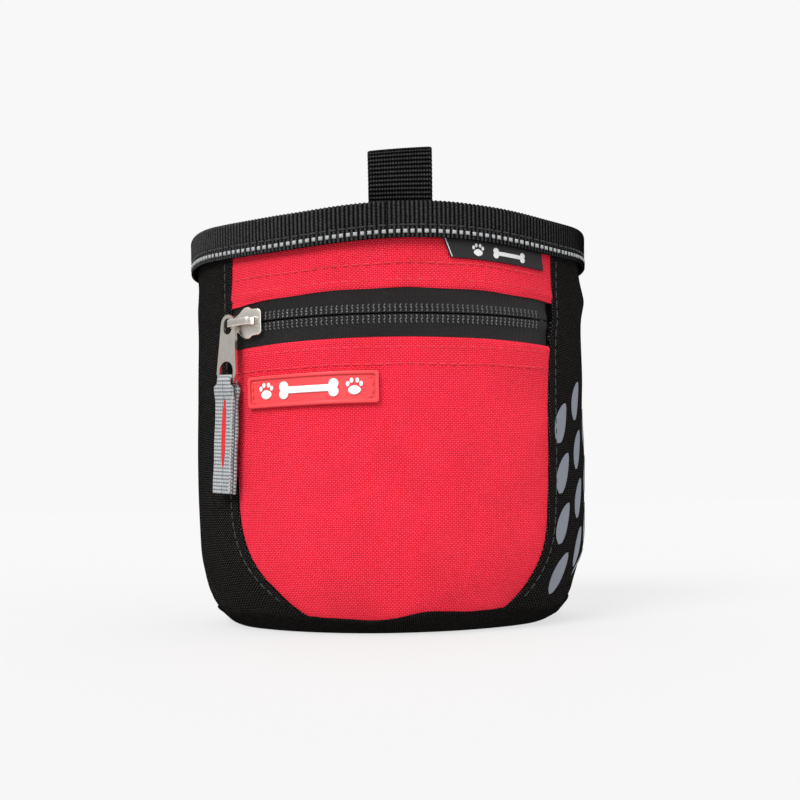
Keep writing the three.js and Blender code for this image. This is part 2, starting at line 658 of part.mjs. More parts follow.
function beltClip() {
  const leg = clipFace + CLIP.steel;
  const far = leg + CLIP.gap;
  const centre = leg + CLIP.gap / 2;
  const tip = far + CLIP.flare;
  const shape = new THREE.Shape();
  shape.moveTo(clipFace, CLIP.bottom + 4);
  shape.lineTo(leg, CLIP.bottom + 4);
  shape.lineTo(leg, CLIP.bend);
  shape.absarc(centre, CLIP.bend, CLIP.gap / 2, Math.PI, 0, true);
  shape.lineTo(far, CLIP.flareZ);
  shape.lineTo(tip, CLIP.bottom);
  shape.lineTo(tip + CLIP.steel, CLIP.bottom + 0.4);
  shape.lineTo(far + CLIP.steel, CLIP.flareZ + 0.4);
  shape.lineTo(far + CLIP.steel, CLIP.bend);
  shape.absarc(centre, CLIP.bend, CLIP.gap / 2 + CLIP.steel, 0, Math.PI, false);
  return extrudeX(shape, -CLIP.width / 2, CLIP.width / 2, 10);
}

// A round-headed rivet along Y, with a burr inside the padding.
function rivet(z) {
  const headBase = clipFace + CLIP.steel + GAP;
  const burrFace = backFace - (WAIST.sink - BELLY.sink) - SKIN - GAP;
  const profile = [
    [0, headBase + RIVET.headThick], [RIVET.head * 0.6, headBase + RIVET.headThick],
    [RIVET.head, headBase + 0.3],
    [RIVET.head, headBase], [RIVET.shank, headBase], [RIVET.shank, burrFace], [RIVET.head - 0.4, burrFace],
    [RIVET.head - 0.4, burrFace - 0.8], [0, burrFace - 0.8],
  ];
  const points = profile.reverse().map(([r, y]) => new THREE.Vector2(r, y));
  return new THREE.LatheGeometry(points, 20).translate(0, 0, z);
}

function addClip() {
  const patch = wall({
    from: 180 - PATCH.half, to: 180 + PATCH.half, bottom: PATCH.bottom, top: PATCH.top,
    outer: skin(-GAP - PATCH.thickness), inner: skin(-GAP),
  });
  add('back_patch', cut(patch, ...rivetHoles(RIVET.hole)), BLACK_WEBBING);
  const holes = RIVET.heights.map((z) => cylinderY(RIVET.hole, backFace, clipFace + CLIP.steel + 1, z));
  add('belt_clip', cut(beltClip(), ...holes), BLACK_STEEL);
  RIVET.heights.forEach((z, k) => add(`clip_rivet_${['lower', 'upper'][k]}`, rivet(z), STEEL));
}

addFrontPanels();
addSidePanels();
addBackPanel();
addFoam();
addLining();
addBase();
addRim();
addZip();
addSliderAndPull();
addBadge();
addLabel();
addLoop();
addClip();

export default pouch;
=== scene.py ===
"""Treat pouch: the looks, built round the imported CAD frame.

All lengths in this script are millimetres and all angles degrees, unless a name says otherwise;
make_mesh() turns them into metres. Plan angles are measured from the front: 0 is the front, 90 the
right side and 180 the back. "Lift" is a distance out of the wall's surface.
"""

import math

import bpy
import bmesh
import numpy as np
from mathutils import Matrix, Vector, noise


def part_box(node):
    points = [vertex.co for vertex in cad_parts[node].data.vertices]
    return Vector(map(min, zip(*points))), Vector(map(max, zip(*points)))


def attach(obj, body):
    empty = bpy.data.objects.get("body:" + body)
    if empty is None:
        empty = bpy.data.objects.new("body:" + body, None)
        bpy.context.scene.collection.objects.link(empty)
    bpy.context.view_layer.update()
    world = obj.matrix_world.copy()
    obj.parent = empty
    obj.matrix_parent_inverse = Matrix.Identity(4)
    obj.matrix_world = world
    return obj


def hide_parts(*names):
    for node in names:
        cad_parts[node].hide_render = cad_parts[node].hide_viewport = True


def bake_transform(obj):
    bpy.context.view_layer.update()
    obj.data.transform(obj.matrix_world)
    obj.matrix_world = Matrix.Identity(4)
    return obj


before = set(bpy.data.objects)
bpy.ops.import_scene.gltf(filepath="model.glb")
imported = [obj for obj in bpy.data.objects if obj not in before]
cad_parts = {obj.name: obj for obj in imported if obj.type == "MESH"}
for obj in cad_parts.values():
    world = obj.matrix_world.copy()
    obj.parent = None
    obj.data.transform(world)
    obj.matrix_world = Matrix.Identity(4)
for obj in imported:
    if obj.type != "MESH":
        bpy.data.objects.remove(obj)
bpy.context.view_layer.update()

MM = 0.001

# ---------------------------------------------------------------- sizes, from the frame where it has them


def node_box(name):
    """A CAD node's lowest and highest corners, in millimetres."""
    low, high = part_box(name)
    return Vector(low) / MM, Vector(high) / MM


RIM_LOW, RIM_HIGH = node_box("rim_binding")
HEIGHT = RIM_HIGH.z
HALF_WIDTH = 72.7
DEPTH = 99.5
FRONT_RADIUS = 80.0
FRONT_REACH = 46.0
BACK_RADIUS = 130.0
BACK_REACH = 26.45
WAIST_SINK, WAIST_Z = 2.7, 118.0
BELLY_SINK, BELLY_Z = 1.4, 50.0
FOOT_TAPER, FOOT_ROUND, FOOT_Z = 2.6, 12.5, 30.0

ZIP_LOW = node_box("zipper_tape_lower")[0].z
ZIP_HIGH = node_box("zipper_tape_upper")[1].z
ZIP_Z = (ZIP_LOW + ZIP_HIGH) / 2
SEAM_Z = node_box("front_lower_panel")[0].z
PANEL_EDGE = 43.2
SIDE_BACK = 132.0
PANEL_THICKNESS = 1.0
PANEL_TOP = HEIGHT - 6.0         # top edge of the outer panels, inside the binding
ROWS_ABOVE_ZIP = (2.6, 8.2)      # rows of stitches, from the zip's edges
ROWS_BELOW_ZIP = (2.4, 7.8)

# ---------------------------------------------------------------- the pouch's plan and profile


def sin_of(degrees):
    return math.sin(math.radians(degrees))


def cos_of(degrees):
    return math.cos(math.radians(degrees))


def plan_arcs():
    """Half of the plan as four tangent arcs: (end angle, radius, centre x, centre y)."""
    reach = sin_of(FRONT_REACH)
    corner = (HALF_WIDTH - FRONT_RADIUS * reach) / (1 - reach)
    back_reach = sin_of(BACK_REACH)
    rear = (HALF_WIDTH - BACK_RADIUS * back_reach) / (1 - back_reach)
    front_y = FRONT_RADIUS - DEPTH / 2
    corner_y = front_y - (FRONT_RADIUS - corner) * cos_of(FRONT_REACH)
    back_y = DEPTH / 2 - BACK_RADIUS
    rear_y = back_y + (BACK_RADIUS - rear) * cos_of(BACK_REACH)
    return [
        (FRONT_REACH, FRONT_RADIUS, 0.0, front_y),
        (90.0, corner, HALF_WIDTH - corner, corner_y),
        (180.0 - BACK_REACH, rear, HALF_WIDTH - rear, rear_y),
        (180.0, BACK_RADIUS, 0.0, back_y),
    ]


ARCS = plan_arcs()
ZIP_CENTRE_Y = ARCS[0][3]


def signed(angle):
    """An angle brought between -180 and 180."""
    return (angle + 180.0) % 360.0 - 180.0


def plan_point(angle, offset):
    """The plan's point at an angle, moved out by an offset from the rim's outline."""
    turned = signed(angle)
    size = abs(turned)
    side = 1.0 if turned >= 0 else -1.0
    for end, radius, x, y in ARCS:
        if size <= end + 1e-9:
            break
    reach = radius + offset
    return side * (x + reach * sin_of(size)), y - reach * cos_of(size)


def arc_length(angle):
    """Length along the plan from the front to an angle, which keeps the weave's scale even."""
    turned = angle if -180.0 <= angle <= 180.0 else 360.0 - abs(angle)
    size, total, start = abs(turned), 0.0, 0.0
    for end, radius, _, _ in ARCS:
        span = min(size, end) - start
        if span <= 0:
            break
        total += math.radians(span) * radius
        start = end
    if abs(angle) > 180.0:
        total = 2 * arc_length(180.0) - total
    return math.copysign(total, angle)


def plan_angle(distance):
    """The plan angle at a distance along the outline, the inverse of arc_length, from 0 round to 360."""
    half = arc_length(180.0)
    if distance > half:
        return 360.0 - plan_angle(2 * half - distance)
    start, used = 0.0, 0.0
    for end, radius, _, _ in ARCS:
        span = math.radians(end - start) * radius
        if distance <= used + span:
            return start + math.degrees((distance - used) / radius)
        used += span
        start = end
    return 180.0


def skin_sink(z):
    """How far inside the rim's outline the outer skin lies at a height."""
    up = min(max((z - BELLY_Z) / (WAIST_Z - BELLY_Z), 0.0), 1.0)
    waist = (WAIST_SINK - BELLY_SINK) * (1 - math.cos(math.pi * up)) / 2
    down = max(0.0, (BELLY_Z - z) / BELLY_Z)
    low = min(max(0.0, (FOOT_Z - z) / FOOT_Z), 1.0)
    return BELLY_SINK + waist + FOOT_TAPER * down * down + FOOT_ROUND * (1 - math.sqrt(1 - low * low))


def bell(x, centre, width):
    """A smooth bump of height 1."""
    return math.exp(-(((x - centre) / width) ** 2))


# Creases that the standing pouch has: (angle, z, run in mm along (plan, height), half width, depth).
CREASES = [
    (-66.0, 13.5, (9.0, -4.0), 2.0, 1.5),
    (-78.0, 118.0, (4.0, -7.0), 3.0, 0.7),
    (88.0, 117.0, (0.0, 7.0), 14.0, -2.0),
    (-30.0, 16.0, (5.0, 6.0), 3.5, 0.35),
    (34.0, 24.0, (3.0, -9.0), 4.0, 0.4),
    (86.0, 72.0, (2.0, 11.0), 16.0, 1.0),
    (76.0, 13.0, (14.0, 0.0), 8.0, 2.6),
    (150.0, 60.0, (7.0, 12.0), 5.0, 0.6),
    (-148.0, 36.0, (-8.0, 10.0), 5.0, 0.6),
]


def crease(angle, z):
    """How far the creases push the surface in at a point."""
    total = 0.0
    for at, height, (run, rise), width, depth in CREASES:
        along = math.radians(signed(angle - at)) * 60.0
        up = z - height
        length = math.hypot(run, rise)
        if abs(along) + abs(up) > 3 * (length + width):
            continue
        t = (along * run + up * rise) / length
        across = (along * rise - up * run) / length
        ridge = 0.5 * bell(across, 1.8 * width, width)
        total += depth * bell(t, 0.0, length) * (bell(across, 0.0, width) - ridge)
    return total


def relief(angle, z):
    """The soft unevenness that every layer of the wall shares."""
    a = math.radians(angle)
    slump = 0.35 * math.sin(3 * a + 0.6) * math.sin(z / 23.0) + 0.25 * math.sin(7 * a + z / 31.0 + 1.0)
    ripple = 0.35 * noise.noise(Vector((arc_length(signed(angle)) / 17.0, z / 21.0, 3.7)))
    fade = min(1.0, max(0.0, (RIM_LOW.z - z) / 12.0)) * min(1.0, z / 6.0)
    fade *= 1.0 - 0.85 * bell(z, ZIP_Z, 9.0) * bell(signed(angle), 0.0, 60.0)
    return (slump + ripple - crease(angle, z)) * fade


def rim_sag(angle):
    """How far the soft rim dips either side of the loop."""
    turned = signed(angle)
    return 2.3 * bell(turned, -28.0, 24.0) + 2.0 * bell(turned, 45.0, 22.0)


def wall_point(angle, z, lift):
    """A point on the wall, with its lift along the profile's own normal."""
    step = 0.05
    slope = (skin_sink(z + step) - skin_sink(max(z - step, 0.0))) / (z + step - max(z - step, 0.0))
    size = math.hypot(1.0, slope)
    total = lift + relief(angle, z)
    x, y = plan_point(angle, -skin_sink(z) + total / size)
    sag = rim_sag(angle) * min(max((z - 106.0) / 20.0, 0.0), 1.0)
    return Vector((x, y, max(z + total * slope / size - sag, 0.02)))


# The red front is a U: half angle at the zip, how far its sides draw in below that, the height where
# its rounded corner starts, and how far the corner draws in. The sewn left corner is the rounder one.
RED_EDGES = {-1: (42.5, 2.2, 43.0, 39.0), 1: (45.4, 5.6, 36.0, 26.0)}


def front_edge(z, side):
    """The red front's edge angle at a height."""
    at_zip, side_draw, corner_top, corner_draw = RED_EDGES[side]
    down = math.sqrt(max(0.0, 1 - z / ZIP_Z))
    low = min(max(0.0, 1 - z / corner_top), 1.0)
    return at_zip - side_draw * down - corner_draw * (1 - math.sqrt(1 - low * low))


def seam_height(angle):
    """The sewn seam between the walls and the base, which wanders up and down."""
    a = math.radians(signed(angle))
    wander = 0.5 * math.sin(5 * a + 0.4) + 0.5 * math.sin(11 * a + 2.0)
    return SEAM_Z - 0.4 + wander - 2.4 * bell(signed(angle), -5.0, 9.0) + 0.8 * bell(signed(angle), 9.0, 7.0)


# ---------------------------------------------------------------- meshes


def make_mesh(name, points, faces, material, body, uvs=None, sharp=40.0):
    """An object from points in millimetres, with its weave coordinates, riding on a body."""
    mesh = bpy.data.meshes.new(name)
    mesh.from_pydata([tuple(c * MM for c in p) for p in points], [], faces)
    mesh.validate()
    if uvs is not None:
        layer = mesh.uv_layers.new(name="cloth")
        index = np.empty(len(mesh.loops), dtype=np.int32)
        mesh.loops.foreach_get("vertex_index", index)
        layer.data.foreach_set("uv", np.asarray(uvs, dtype=np.float32)[index].ravel())
    mesh.polygons.foreach_set("use_smooth", [True] * len(mesh.polygons))
    mesh.set_sharp_from_angle(angle=math.radians(sharp))
    mesh.materials.append(material)
    piece = bpy.data.objects.new(name, mesh)
    bpy.context.scene.collection.objects.link(piece)
    if body:
        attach(piece, body)
    return piece


def grid_faces(columns, rows, wrapped):
    """Faces of a closed slab over a grid: its outer skin, its inner skin and its edges."""
    across = columns if wrapped else columns + 1
    layer = across * (rows + 1)
    faces = []
    for c in range(columns):
        d = (c + 1) % across
        for r in range(rows):
            a, b = r * across + c, r * across + d
            e, f = (r + 1) * across + d, (r + 1) * across + c
            faces.append((a, b, e, f))
            faces.append((layer + a, layer + f, layer + e, layer + b))
        top = rows * across
        faces.append((c, layer + c, layer + d, d))
        faces.append((top + c, top + d, layer + top + d, layer + top + c))
    if not wrapped:
        for r in range(rows):
            a, b = r * across, (r + 1) * across
            faces.append((a, b, layer + b, layer + a))
            a, b = a + columns, b + columns
            faces.append((a, layer + a, layer + b, b))
    return faces


def shell(name, columns, rows, place, thickness, material, body="bag", wrapped=False, sharp=50.0):
    """A fabric panel on the wall. place(u, v) gives (angle, z, lift), with u and v from 0 to 1."""
    across = columns if wrapped else columns + 1
    spots = [place(c / columns, r / rows) for r in range(rows + 1) for c in range(across)]
    points = [wall_point(angle, z, lift) for angle, z, lift in spots]
    points += [wall_point(angle, z, lift - thickness) for angle, z, lift in spots]
    uvs = [(arc_length(angle), z) for angle, z, _ in spots] * 2
    return make_mesh(name, points, grid_faces(columns, rows, wrapped), material, body, uvs, sharp)


def tube(centres, normals, radius, sides=6):
    """Points and faces of a closed thin tube along centres, flattened a little along normals."""
    points, faces = [], []
    count = len(centres)
    for k, (centre, normal) in enumerate(zip(centres, normals)):
        ahead = (centres[min(k + 1, count - 1)] - centres[max(k - 1, 0)]).normalized()
        side = ahead.cross(normal).normalized()
        size = radius * (0.55 if k in (0, count - 1) else 1.0)
        for s in range(sides):
            turn = 2 * math.pi * s / sides
            points.append(centre + side * (size * math.cos(turn)) + normal * (0.8 * size * math.sin(turn)))
    for k in range(count - 1):
        for s in range(sides):
            t = (s + 1) % sides
            faces.append((k * sides + s, k * sides + t, (k + 1) * sides + t, (k + 1) * sides + s))
    faces.append(tuple(range(sides - 1, -1, -1)))
    faces.append(tuple((count - 1) * sides + s for s in range(sides)))
    return points, faces


def stitch_row(name, route, material, body="bag", length=2.5, gap=0.7, radius=0.3, raise_by=0.12):
    """Separate stitches along a route of (point, normal) pairs, each sinking into the cloth at both ends."""
    spots = [Vector(p) for p, _ in route]
    distance = [0.0]
    for a, b in zip(spots, spots[1:]):
        distance.append(distance[-1] + (b - a).length)

    def at(s):
        k = min(max(np.searchsorted(distance, s) - 1, 0), len(spots) - 2)
        t = (s - distance[k]) / max(distance[k + 1] - distance[k], 1e-9)
        normal = Vector(route[k][1]).lerp(Vector(route[k + 1][1]), t).normalized()
        return spots[k].lerp(spots[k + 1], t), normal

    points, faces = [], []
    count = int(distance[-1] / (length + gap))
    pitch = distance[-1] / max(count, 1)
    profile = [(0.0, -0.35), (0.18, 0.1), (0.5, 0.25), (0.82, 0.1), (1.0, -0.35)]
    for k in range(count):
        start = k * pitch + (pitch - length) / 2
        places = [at(start + length * t) for t, _ in profile]
        centres = [p + n * (raise_by + radius * high) for (p, n), (_, high) in zip(places, profile)]
        more, loops = tube(centres, [n for _, n in places], radius)
        base = len(points)
        points += more
        faces += [tuple(base + i for i in loop) for loop in loops]
    return make_mesh(name, points, faces, material, body, [(p.x, p.z) for p in points], 60.0)


def wall_route(spots, lift=0.0):
    """A stitch route over the wall from (angle, z) pairs."""
    route = []
    for angle, z in spots:
        p = wall_point(angle, z, lift)
        route.append((p, (wall_point(angle, z, lift + 1.0) - p).normalized()))
    return route


def spaced(start, end, count):
    return [start + (end - start) * k / count for k in range(count + 1)]


# ---------------------------------------------------------------- flat designs


def rounded(points, radius, steps=5):
    """A closed outline with its corners rounded off."""
    outline = []
    count = len(points)
    for k in range(count):
        here = Vector(points[k])
        back = (Vector(points[k - 1]) - here)
        on = (Vector(points[(k + 1) % count]) - here)
        cut = min(radius, back.length * 0.45, on.length * 0.45)
        a, b = here + back.normalized() * cut, here + on.normalized() * cut
        for s in range(steps + 1):
            t = s / steps
            outline.append(tuple(a * (1 - t) ** 2 + here * (2 * t * (1 - t)) + b * t ** 2))
    return outline


def circle(x, z, radius, steps=32, start=0.0, end=360.0):
    """Points round a circle, or along an arc of it."""
    full = abs(end - start) >= 360.0
    count = steps if full else steps + 1
    turns = [start + (end - start) * k / steps for k in range(count)]
    return [(x + radius * cos_of(a), z + radius * sin_of(a)) for a in turns]


def plate_mesh(outlines, thickness, edge):
    """Points and faces of a flat plate with rounded edges, in (x, z), its face at y = 0 towards -y."""
    curve = bpy.data.curves.new("plate", "CURVE")
    curve.dimensions = "2D"
    curve.fill_mode = "BOTH"
    curve.extrude = max(thickness / 2 - edge, 0.0)
    curve.bevel_depth = edge
    curve.bevel_resolution = 2
    curve.offset = -edge
    for outline in outlines:
        spline = curve.splines.new("POLY")
        spline.points.add(len(outline) - 1)
        for point, (x, z) in zip(spline.points, outline):
            point.co = (x, z, 0.0, 1.0)
        spline.use_cyclic_u = True
    holder = bpy.data.objects.new("plate", curve)
    bpy.context.scene.collection.objects.link(holder)
    graph = bpy.context.evaluated_depsgraph_get()
    flat = bpy.data.meshes.new_from_object(holder.evaluated_get(graph))
    bpy.data.objects.remove(holder)
    bpy.data.curves.remove(curve)
    form = bmesh.new()
    form.from_mesh(flat)
    bpy.data.meshes.remove(flat)
    bmesh.ops.remove_doubles(form, verts=form.verts, dist=1e-4)
    return form


def take(form):
    """Points and faces of a bmesh, which is then freed. Its z becomes depth: y = thickness / 2 - z."""
    form.verts.ensure_lookup_table()
    points = [v.co.copy() for v in form.verts]
    faces = [tuple(v.index for v in f.verts) for f in form.faces]
    form.free()
    return points, faces


def slice_up(form, pitch, both_ways=False):
    """Cuts a flat design into narrow strips, or squares, so that it can bend round the wall."""
    for axis in (0, 1) if both_ways else (0,):
        places = [v.co[axis] for v in form.verts]
        at = math.floor(min(places) / pitch) * pitch
        normal = Vector((1, 0, 0)) if axis == 0 else Vector((0, 1, 0))
        while at < max(places):
            everything = form.verts[:] + form.edges[:] + form.faces[:]
            bmesh.ops.bisect_plane(form, geom=everything, plane_co=normal * at, plane_no=normal)
            at += pitch


def wall_angle(along):
    """The plan angle at a signed distance along the outline from the front."""
    return math.copysign(plan_angle(abs(along)), along)


def wall_plate(name, outlines, thickness, lift, material, edge=0.2, centre=(0.0, 0.0), step=1.5, hold=None):
    """A flat design laid on the wall: x runs along the plan from the centre, z up from it."""
    form = plate_mesh(outlines, thickness, edge)
    slice_up(form, step, both_ways=hold is not None)
    points, faces = take(form)
    along, height = centre
    placed = []
    for p in points:
        angle, z = wall_angle(along + p.x), height + p.y
        if hold:
            angle = hold(angle, z)
        ground = lift(angle, z) if callable(lift) else lift
        placed.append(wall_point(angle, z, ground + thickness / 2 + p.z))
    uvs = [(along + p.x, height + p.y) for p in points]
    return make_mesh(name, placed, faces, material, "bag", uvs, 35.0)


# ---------------------------------------------------------------- materials


class Graph:
    """A material's node tree, with a short call for each kind of node that is used here."""

    def __init__(self, name, roughness, metallic=0.0):
        self.material = bpy.data.materials.new(name)
        self.material.use_nodes = True
        self.tree = self.material.node_tree
        self.shader = self.tree.nodes["Principled BSDF"]
        self.set("Roughness", roughness)
        self.set("Metallic", metallic)

    def set(self, socket, value):
        """A value on the shader's own socket, or a link to it."""
        if isinstance(value, bpy.types.NodeSocket):
            self.tree.links.new(value, self.shader.inputs[socket])
        else:
            self.shader.inputs[socket].default_value = value

    def node(self, kind, **settings):
        made = self.tree.nodes.new(kind)
        for key, value in settings.items():
            setattr(made, key, value)
        return made

    def feed(self, socket, value):
        if isinstance(value, bpy.types.NodeSocket):
            self.tree.links.new(value, socket)
        else:
            socket.default_value = value

    def math(self, operation, a, b=0.0, c=0.0):
        made = self.node("ShaderNodeMath", operation=operation)
        for socket, value in zip(made.inputs, (a, b, c)):
            self.feed(socket, value)
        return made.outputs[0]

    def cloth(self):
        """The weave coordinates, in millimetres along and up the cloth."""
        uv = self.node("ShaderNodeUVMap", uv_map="cloth")
        split = self.node("ShaderNodeSeparateXYZ")
        self.tree.links.new(uv.outputs[0], split.inputs[0])
        return split.outputs[0], split.outputs[1]

    def noise(self, scale, detail=3.0, stretch=(1.0, 1.0, 1.0)):
        """Noise in the object's own space; scale is in features per metre."""
        place = self.node("ShaderNodeTexCoord")
        mapping = self.node("ShaderNodeMapping")
        mapping.inputs["Scale"].default_value = stretch
        texture = self.node("ShaderNodeTexNoise")
        texture.inputs["Scale"].default_value = scale
        texture.inputs["Detail"].default_value = detail
        self.tree.links.new(place.outputs["Object"], mapping.inputs[0])
        self.tree.links.new(mapping.outputs[0], texture.inputs["Vector"])
        return texture.outputs[0]

    def ramp(self, factor, *stops):
        """A colour ramp from (position, colour) stops."""
        made = self.node("ShaderNodeValToRGB")
        elements = made.color_ramp.elements
        while len(elements) < len(stops):
            elements.new(0.5)
        for element, (position, colour) in zip(elements, stops):
            element.position = position
            element.color = (*colour, 1.0)
        self.feed(made.inputs[0], factor)
        return made.outputs[0]

    def shade(self, colour, factor):
        """A colour, or a colour socket, multiplied by a grey factor."""
        made = self.node("ShaderNodeVectorMath", operation="SCALE")
        if isinstance(colour, bpy.types.NodeSocket):
            self.tree.links.new(colour, made.inputs[0])
        else:
            made.inputs[0].default_value = colour
        self.feed(made.inputs["Scale"], factor)
        return made.outputs[0]

    def bump(self, height, distance, strength=1.0):
        """Bump of a height from 0 to 1 that stands distance millimetres high."""
        made = self.node("ShaderNodeBump")
        made.inputs["Strength"].default_value = strength
        made.inputs["Distance"].default_value = distance * MM
        self.feed(made.inputs["Height"], height)
        self.set("Normal", made.outputs[0])


def weave(graph, pitch_u, pitch_v):
    """Height of a plain weave, from 0 to 1, and which thread is on top (0 warp, 1 weft)."""
    u, v = graph.cloth()
    u = graph.math("DIVIDE", u, pitch_u)
    v = graph.math("DIVIDE", v, pitch_v)
    across = graph.math("SINE", graph.math("MULTIPLY", graph.math("FRACT", u), math.pi))
    along = graph.math("SINE", graph.math("MULTIPLY", graph.math("FRACT", v), math.pi))
    both = graph.math("ADD", graph.math("FLOOR", u), graph.math("FLOOR", v))
    weft = graph.math("MULTIPLY", graph.math("FRACT", graph.math("MULTIPLY", both, 0.5)), 2.0)
    warp_high = graph.math("MULTIPLY", across, graph.math("POWER", along, 0.5))
    weft_high = graph.math("MULTIPLY", along, graph.math("POWER", across, 0.5))
    low = graph.math("MULTIPLY", warp_high, graph.math("SUBTRACT", 1.0, weft))
    return graph.math("MULTIPLY_ADD", weft_high, weft, low), weft


def dye_with_painted_thread_light(graph, height, dark, light, crown=0.5, fibre=0.25):
    """Cloth colour: dark in the gaps as painted shade, light on the threads' crowns as a painted highlight,
    with fibres and uneven dye.
    """
    fibres = graph.noise(1500.0, 3.0)
    uneven = graph.noise(80.0, 3.0)
    level = graph.math("MULTIPLY_ADD", graph.math("SUBTRACT", fibres, 0.5), fibre * 2, height)
    middle = tuple((a * b) ** 0.5 * 0.6 + (a + b) * 0.2 for a, b in zip(dark, light))
    # The ramp runs from the dark stop in the gaps, which is painted shade, to the light stop on the crowns,
    # which is a painted highlight.
    colour = graph.ramp(level, (0.05, dark), (crown, middle), (1.0, light))
    return graph.shade(colour, graph.math("MULTIPLY_ADD", uneven, 0.24, 0.88))


def woven(name, dark, light, pitch=(0.68, 0.50), depth=0.2, roughness=0.7, specular=0.2, crown=0.5):
    """Plain-woven cloth, whose weft threads stand out more than its warp threads through a brighter painted
    highlight on their crowns.
    """
    graph = Graph(name, roughness)
    height, weft = weave(graph, *pitch)
    # The weft's larger share lifts its crowns further up the colour ramp, which gives the weft a brighter
    # painted highlight.
    share = graph.math("MULTIPLY_ADD", weft, 0.45, 0.55)
    graph.set("Base Color", dye_with_painted_thread_light(graph, graph.math("MULTIPLY", height, share), dark, light, crown))
    graph.set("Specular IOR Level", specular)
    graph.bump(height, depth, 1.0)
    return graph.material


def ribbed(name, dark, light, pitch, depth=0.15, specular=0.3, fine_pitch=0.45, crown=0.5):
    """Webbing or grosgrain: fine threads that run over ribs, in the cloth's own coordinates."""
    graph = Graph(name, 0.6)
    u, v = graph.cloth()
    turn = graph.math("FRACT", graph.math("DIVIDE", u, pitch))
    rib = graph.math("SINE", graph.math("MULTIPLY", turn, math.pi))
    turn = graph.math("FRACT", graph.math("DIVIDE", v, fine_pitch))
    fine = graph.math("SINE", graph.math("MULTIPLY", turn, math.pi))
    height = graph.math("MULTIPLY", rib, graph.math("MULTIPLY_ADD", fine, 0.5, 0.5))
    # The colour follows the rib height: painted shade between the ribs and a painted highlight on their
    # crowns.
    graph.set("Base Color", dye_with_painted_thread_light(graph, height, dark, light, crown))
    graph.set("Specular IOR Level", specular)
    graph.bump(height, depth, 0.9)
    return graph.material


def thread(name, colour, roughness):
    """Twisted sewing thread."""
    graph = Graph(name, roughness)
    u, v = graph.cloth()
    slant = graph.math("ADD", u, graph.math("MULTIPLY", v, 0.7))
    twist = graph.math("SINE", graph.math("MULTIPLY", slant, 9.0))
    # The colour follows the twist, as the bump does: painted shade in its grooves and a painted highlight on
    # its crests.
    graph.set("Base Color", graph.shade(colour, graph.math("MULTIPLY_ADD", twist, 0.2, 0.9)))
    graph.bump(twist, 0.05)
    return graph.material


def metal(name, colour, roughness, grain=900.0, coat=0.0):
    """Plated or coated metal with fine tumbling marks and duller patches."""
    graph = Graph(name, roughness, 1.0)
    marks = graph.noise(grain, 5.0, (1.0, 1.0, 0.35))
    patches = graph.noise(160.0, 2.0)
    graph.set("Base Color", graph.shade(colour, graph.math("MULTIPLY_ADD", patches, 0.08, 0.95)))
    graph.set("Roughness", graph.math("MULTIPLY_ADD", marks, 0.14, roughness - 0.06))
    graph.set("Coat Weight", coat)
    graph.bump(marks, 0.012, 0.3)
    return graph.material


def moulded(name, colour, roughness, depth=0.04):
    """Soft moulded rubber or plastic with a fine mould texture."""
    graph = Graph(name, roughness)
    pores = graph.noise(1400.0, 2.0)
    tint = graph.noise(70.0, 2.0)
    graph.set("Base Color", graph.shade(colour, graph.math("MULTIPLY_ADD", tint, 0.12, 0.94)))
    graph.set("Roughness", graph.math("MULTIPLY_ADD", pores, 0.2, roughness - 0.1))
    graph.bump(pores, depth, 0.5)
    return graph.material


def printed(name, colour):
    """Reflective ink over the weave: the threads still show through it."""
    graph = Graph(name, 0.55)
    height, _ = weave(graph, 0.68, 0.53)
    bead = graph.noise(2500.0, 2.0)
    # The tone follows the weave height: painted shade in the gaps between the threads under the ink.
    tone = graph.math("MULTIPLY_ADD", height, 0.18, 0.86)
    tone = graph.math("MULTIPLY", tone, graph.math("MULTIPLY_ADD", bead, 0.16, 0.92))
    graph.set("Base Color", graph.shade(colour, tone))
    graph.set("Specular IOR Level", 0.4)
    graph.bump(height, 0.08, 0.6)
    return graph.material


def foam(name, colour):
    """Closed-cell foam."""
    graph = Graph(name, 0.95)
    cells = graph.noise(900.0, 4.0)
    # The colour follows the cells' bump height: painted shade in the low cells.
    graph.set("Base Color", graph.shade(colour, graph.math("MULTIPLY_ADD", cells, 0.5, 0.7)))
    graph.bump(cells, 0.1)
    return graph.material


def grey(level, tint=(1.0, 1.0, 1.0)):
    return tuple(level * t for t in tint)


WARM = (1.08, 1.0, 0.95)
NICKEL = (0.72, 0.68, 0.62)

# For each cloth below, the first colour is its own colour darkened as painted shade in the gaps, and the
# second is its own colour lightened as a painted highlight on the crowns.
RED_FABRIC = woven("red fabric", (0.78, 0.004, 0.014), (1.0, 0.085, 0.155), (0.68, 0.60), 0.35, 0.6, 0.10)
# The black fabric, binding and webbing have no specular, so their glints are painted highlights in their
# light colour only.
BLACK_FABRIC = woven("black fabric", grey(0.0002), grey(0.080, WARM), (0.68, 0.60), 0.35, 0.5, 0.0,
                     crown=0.75)
LINING = woven("lining nylon", grey(0.012), grey(0.035), (0.3, 0.3), 0.04, 0.45, 0.4)
BINDING = ribbed("binding grosgrain", grey(0.0002), grey(0.075), 1.45, 0.22, specular=0.0, crown=0.75)
WEBBING = ribbed("black webbing", grey(0.0002), grey(0.055), 1.32, 0.3, fine_pitch=0.9, specular=0.0,
                 crown=0.75)
ZIP_TAPE = woven("zip tape", grey(0.001), grey(0.028), (0.60, 0.40), 0.2, 0.3, 0.22)
GREY_WEBBING = ribbed("grey webbing", (0.11, 0.115, 0.12), (0.45, 0.47, 0.48), 1.2, 0.25, fine_pitch=0.8)
SELVEDGE = thread("grey selvedge", grey(0.42), 0.6)
STRIPE = woven("stripe fabric", (0.45, 0.004, 0.008), (0.95, 0.05, 0.06), (0.4, 0.4), 0.08)
REFLECTIVE = printed("reflective dash", (0.33, 0.34, 0.35))
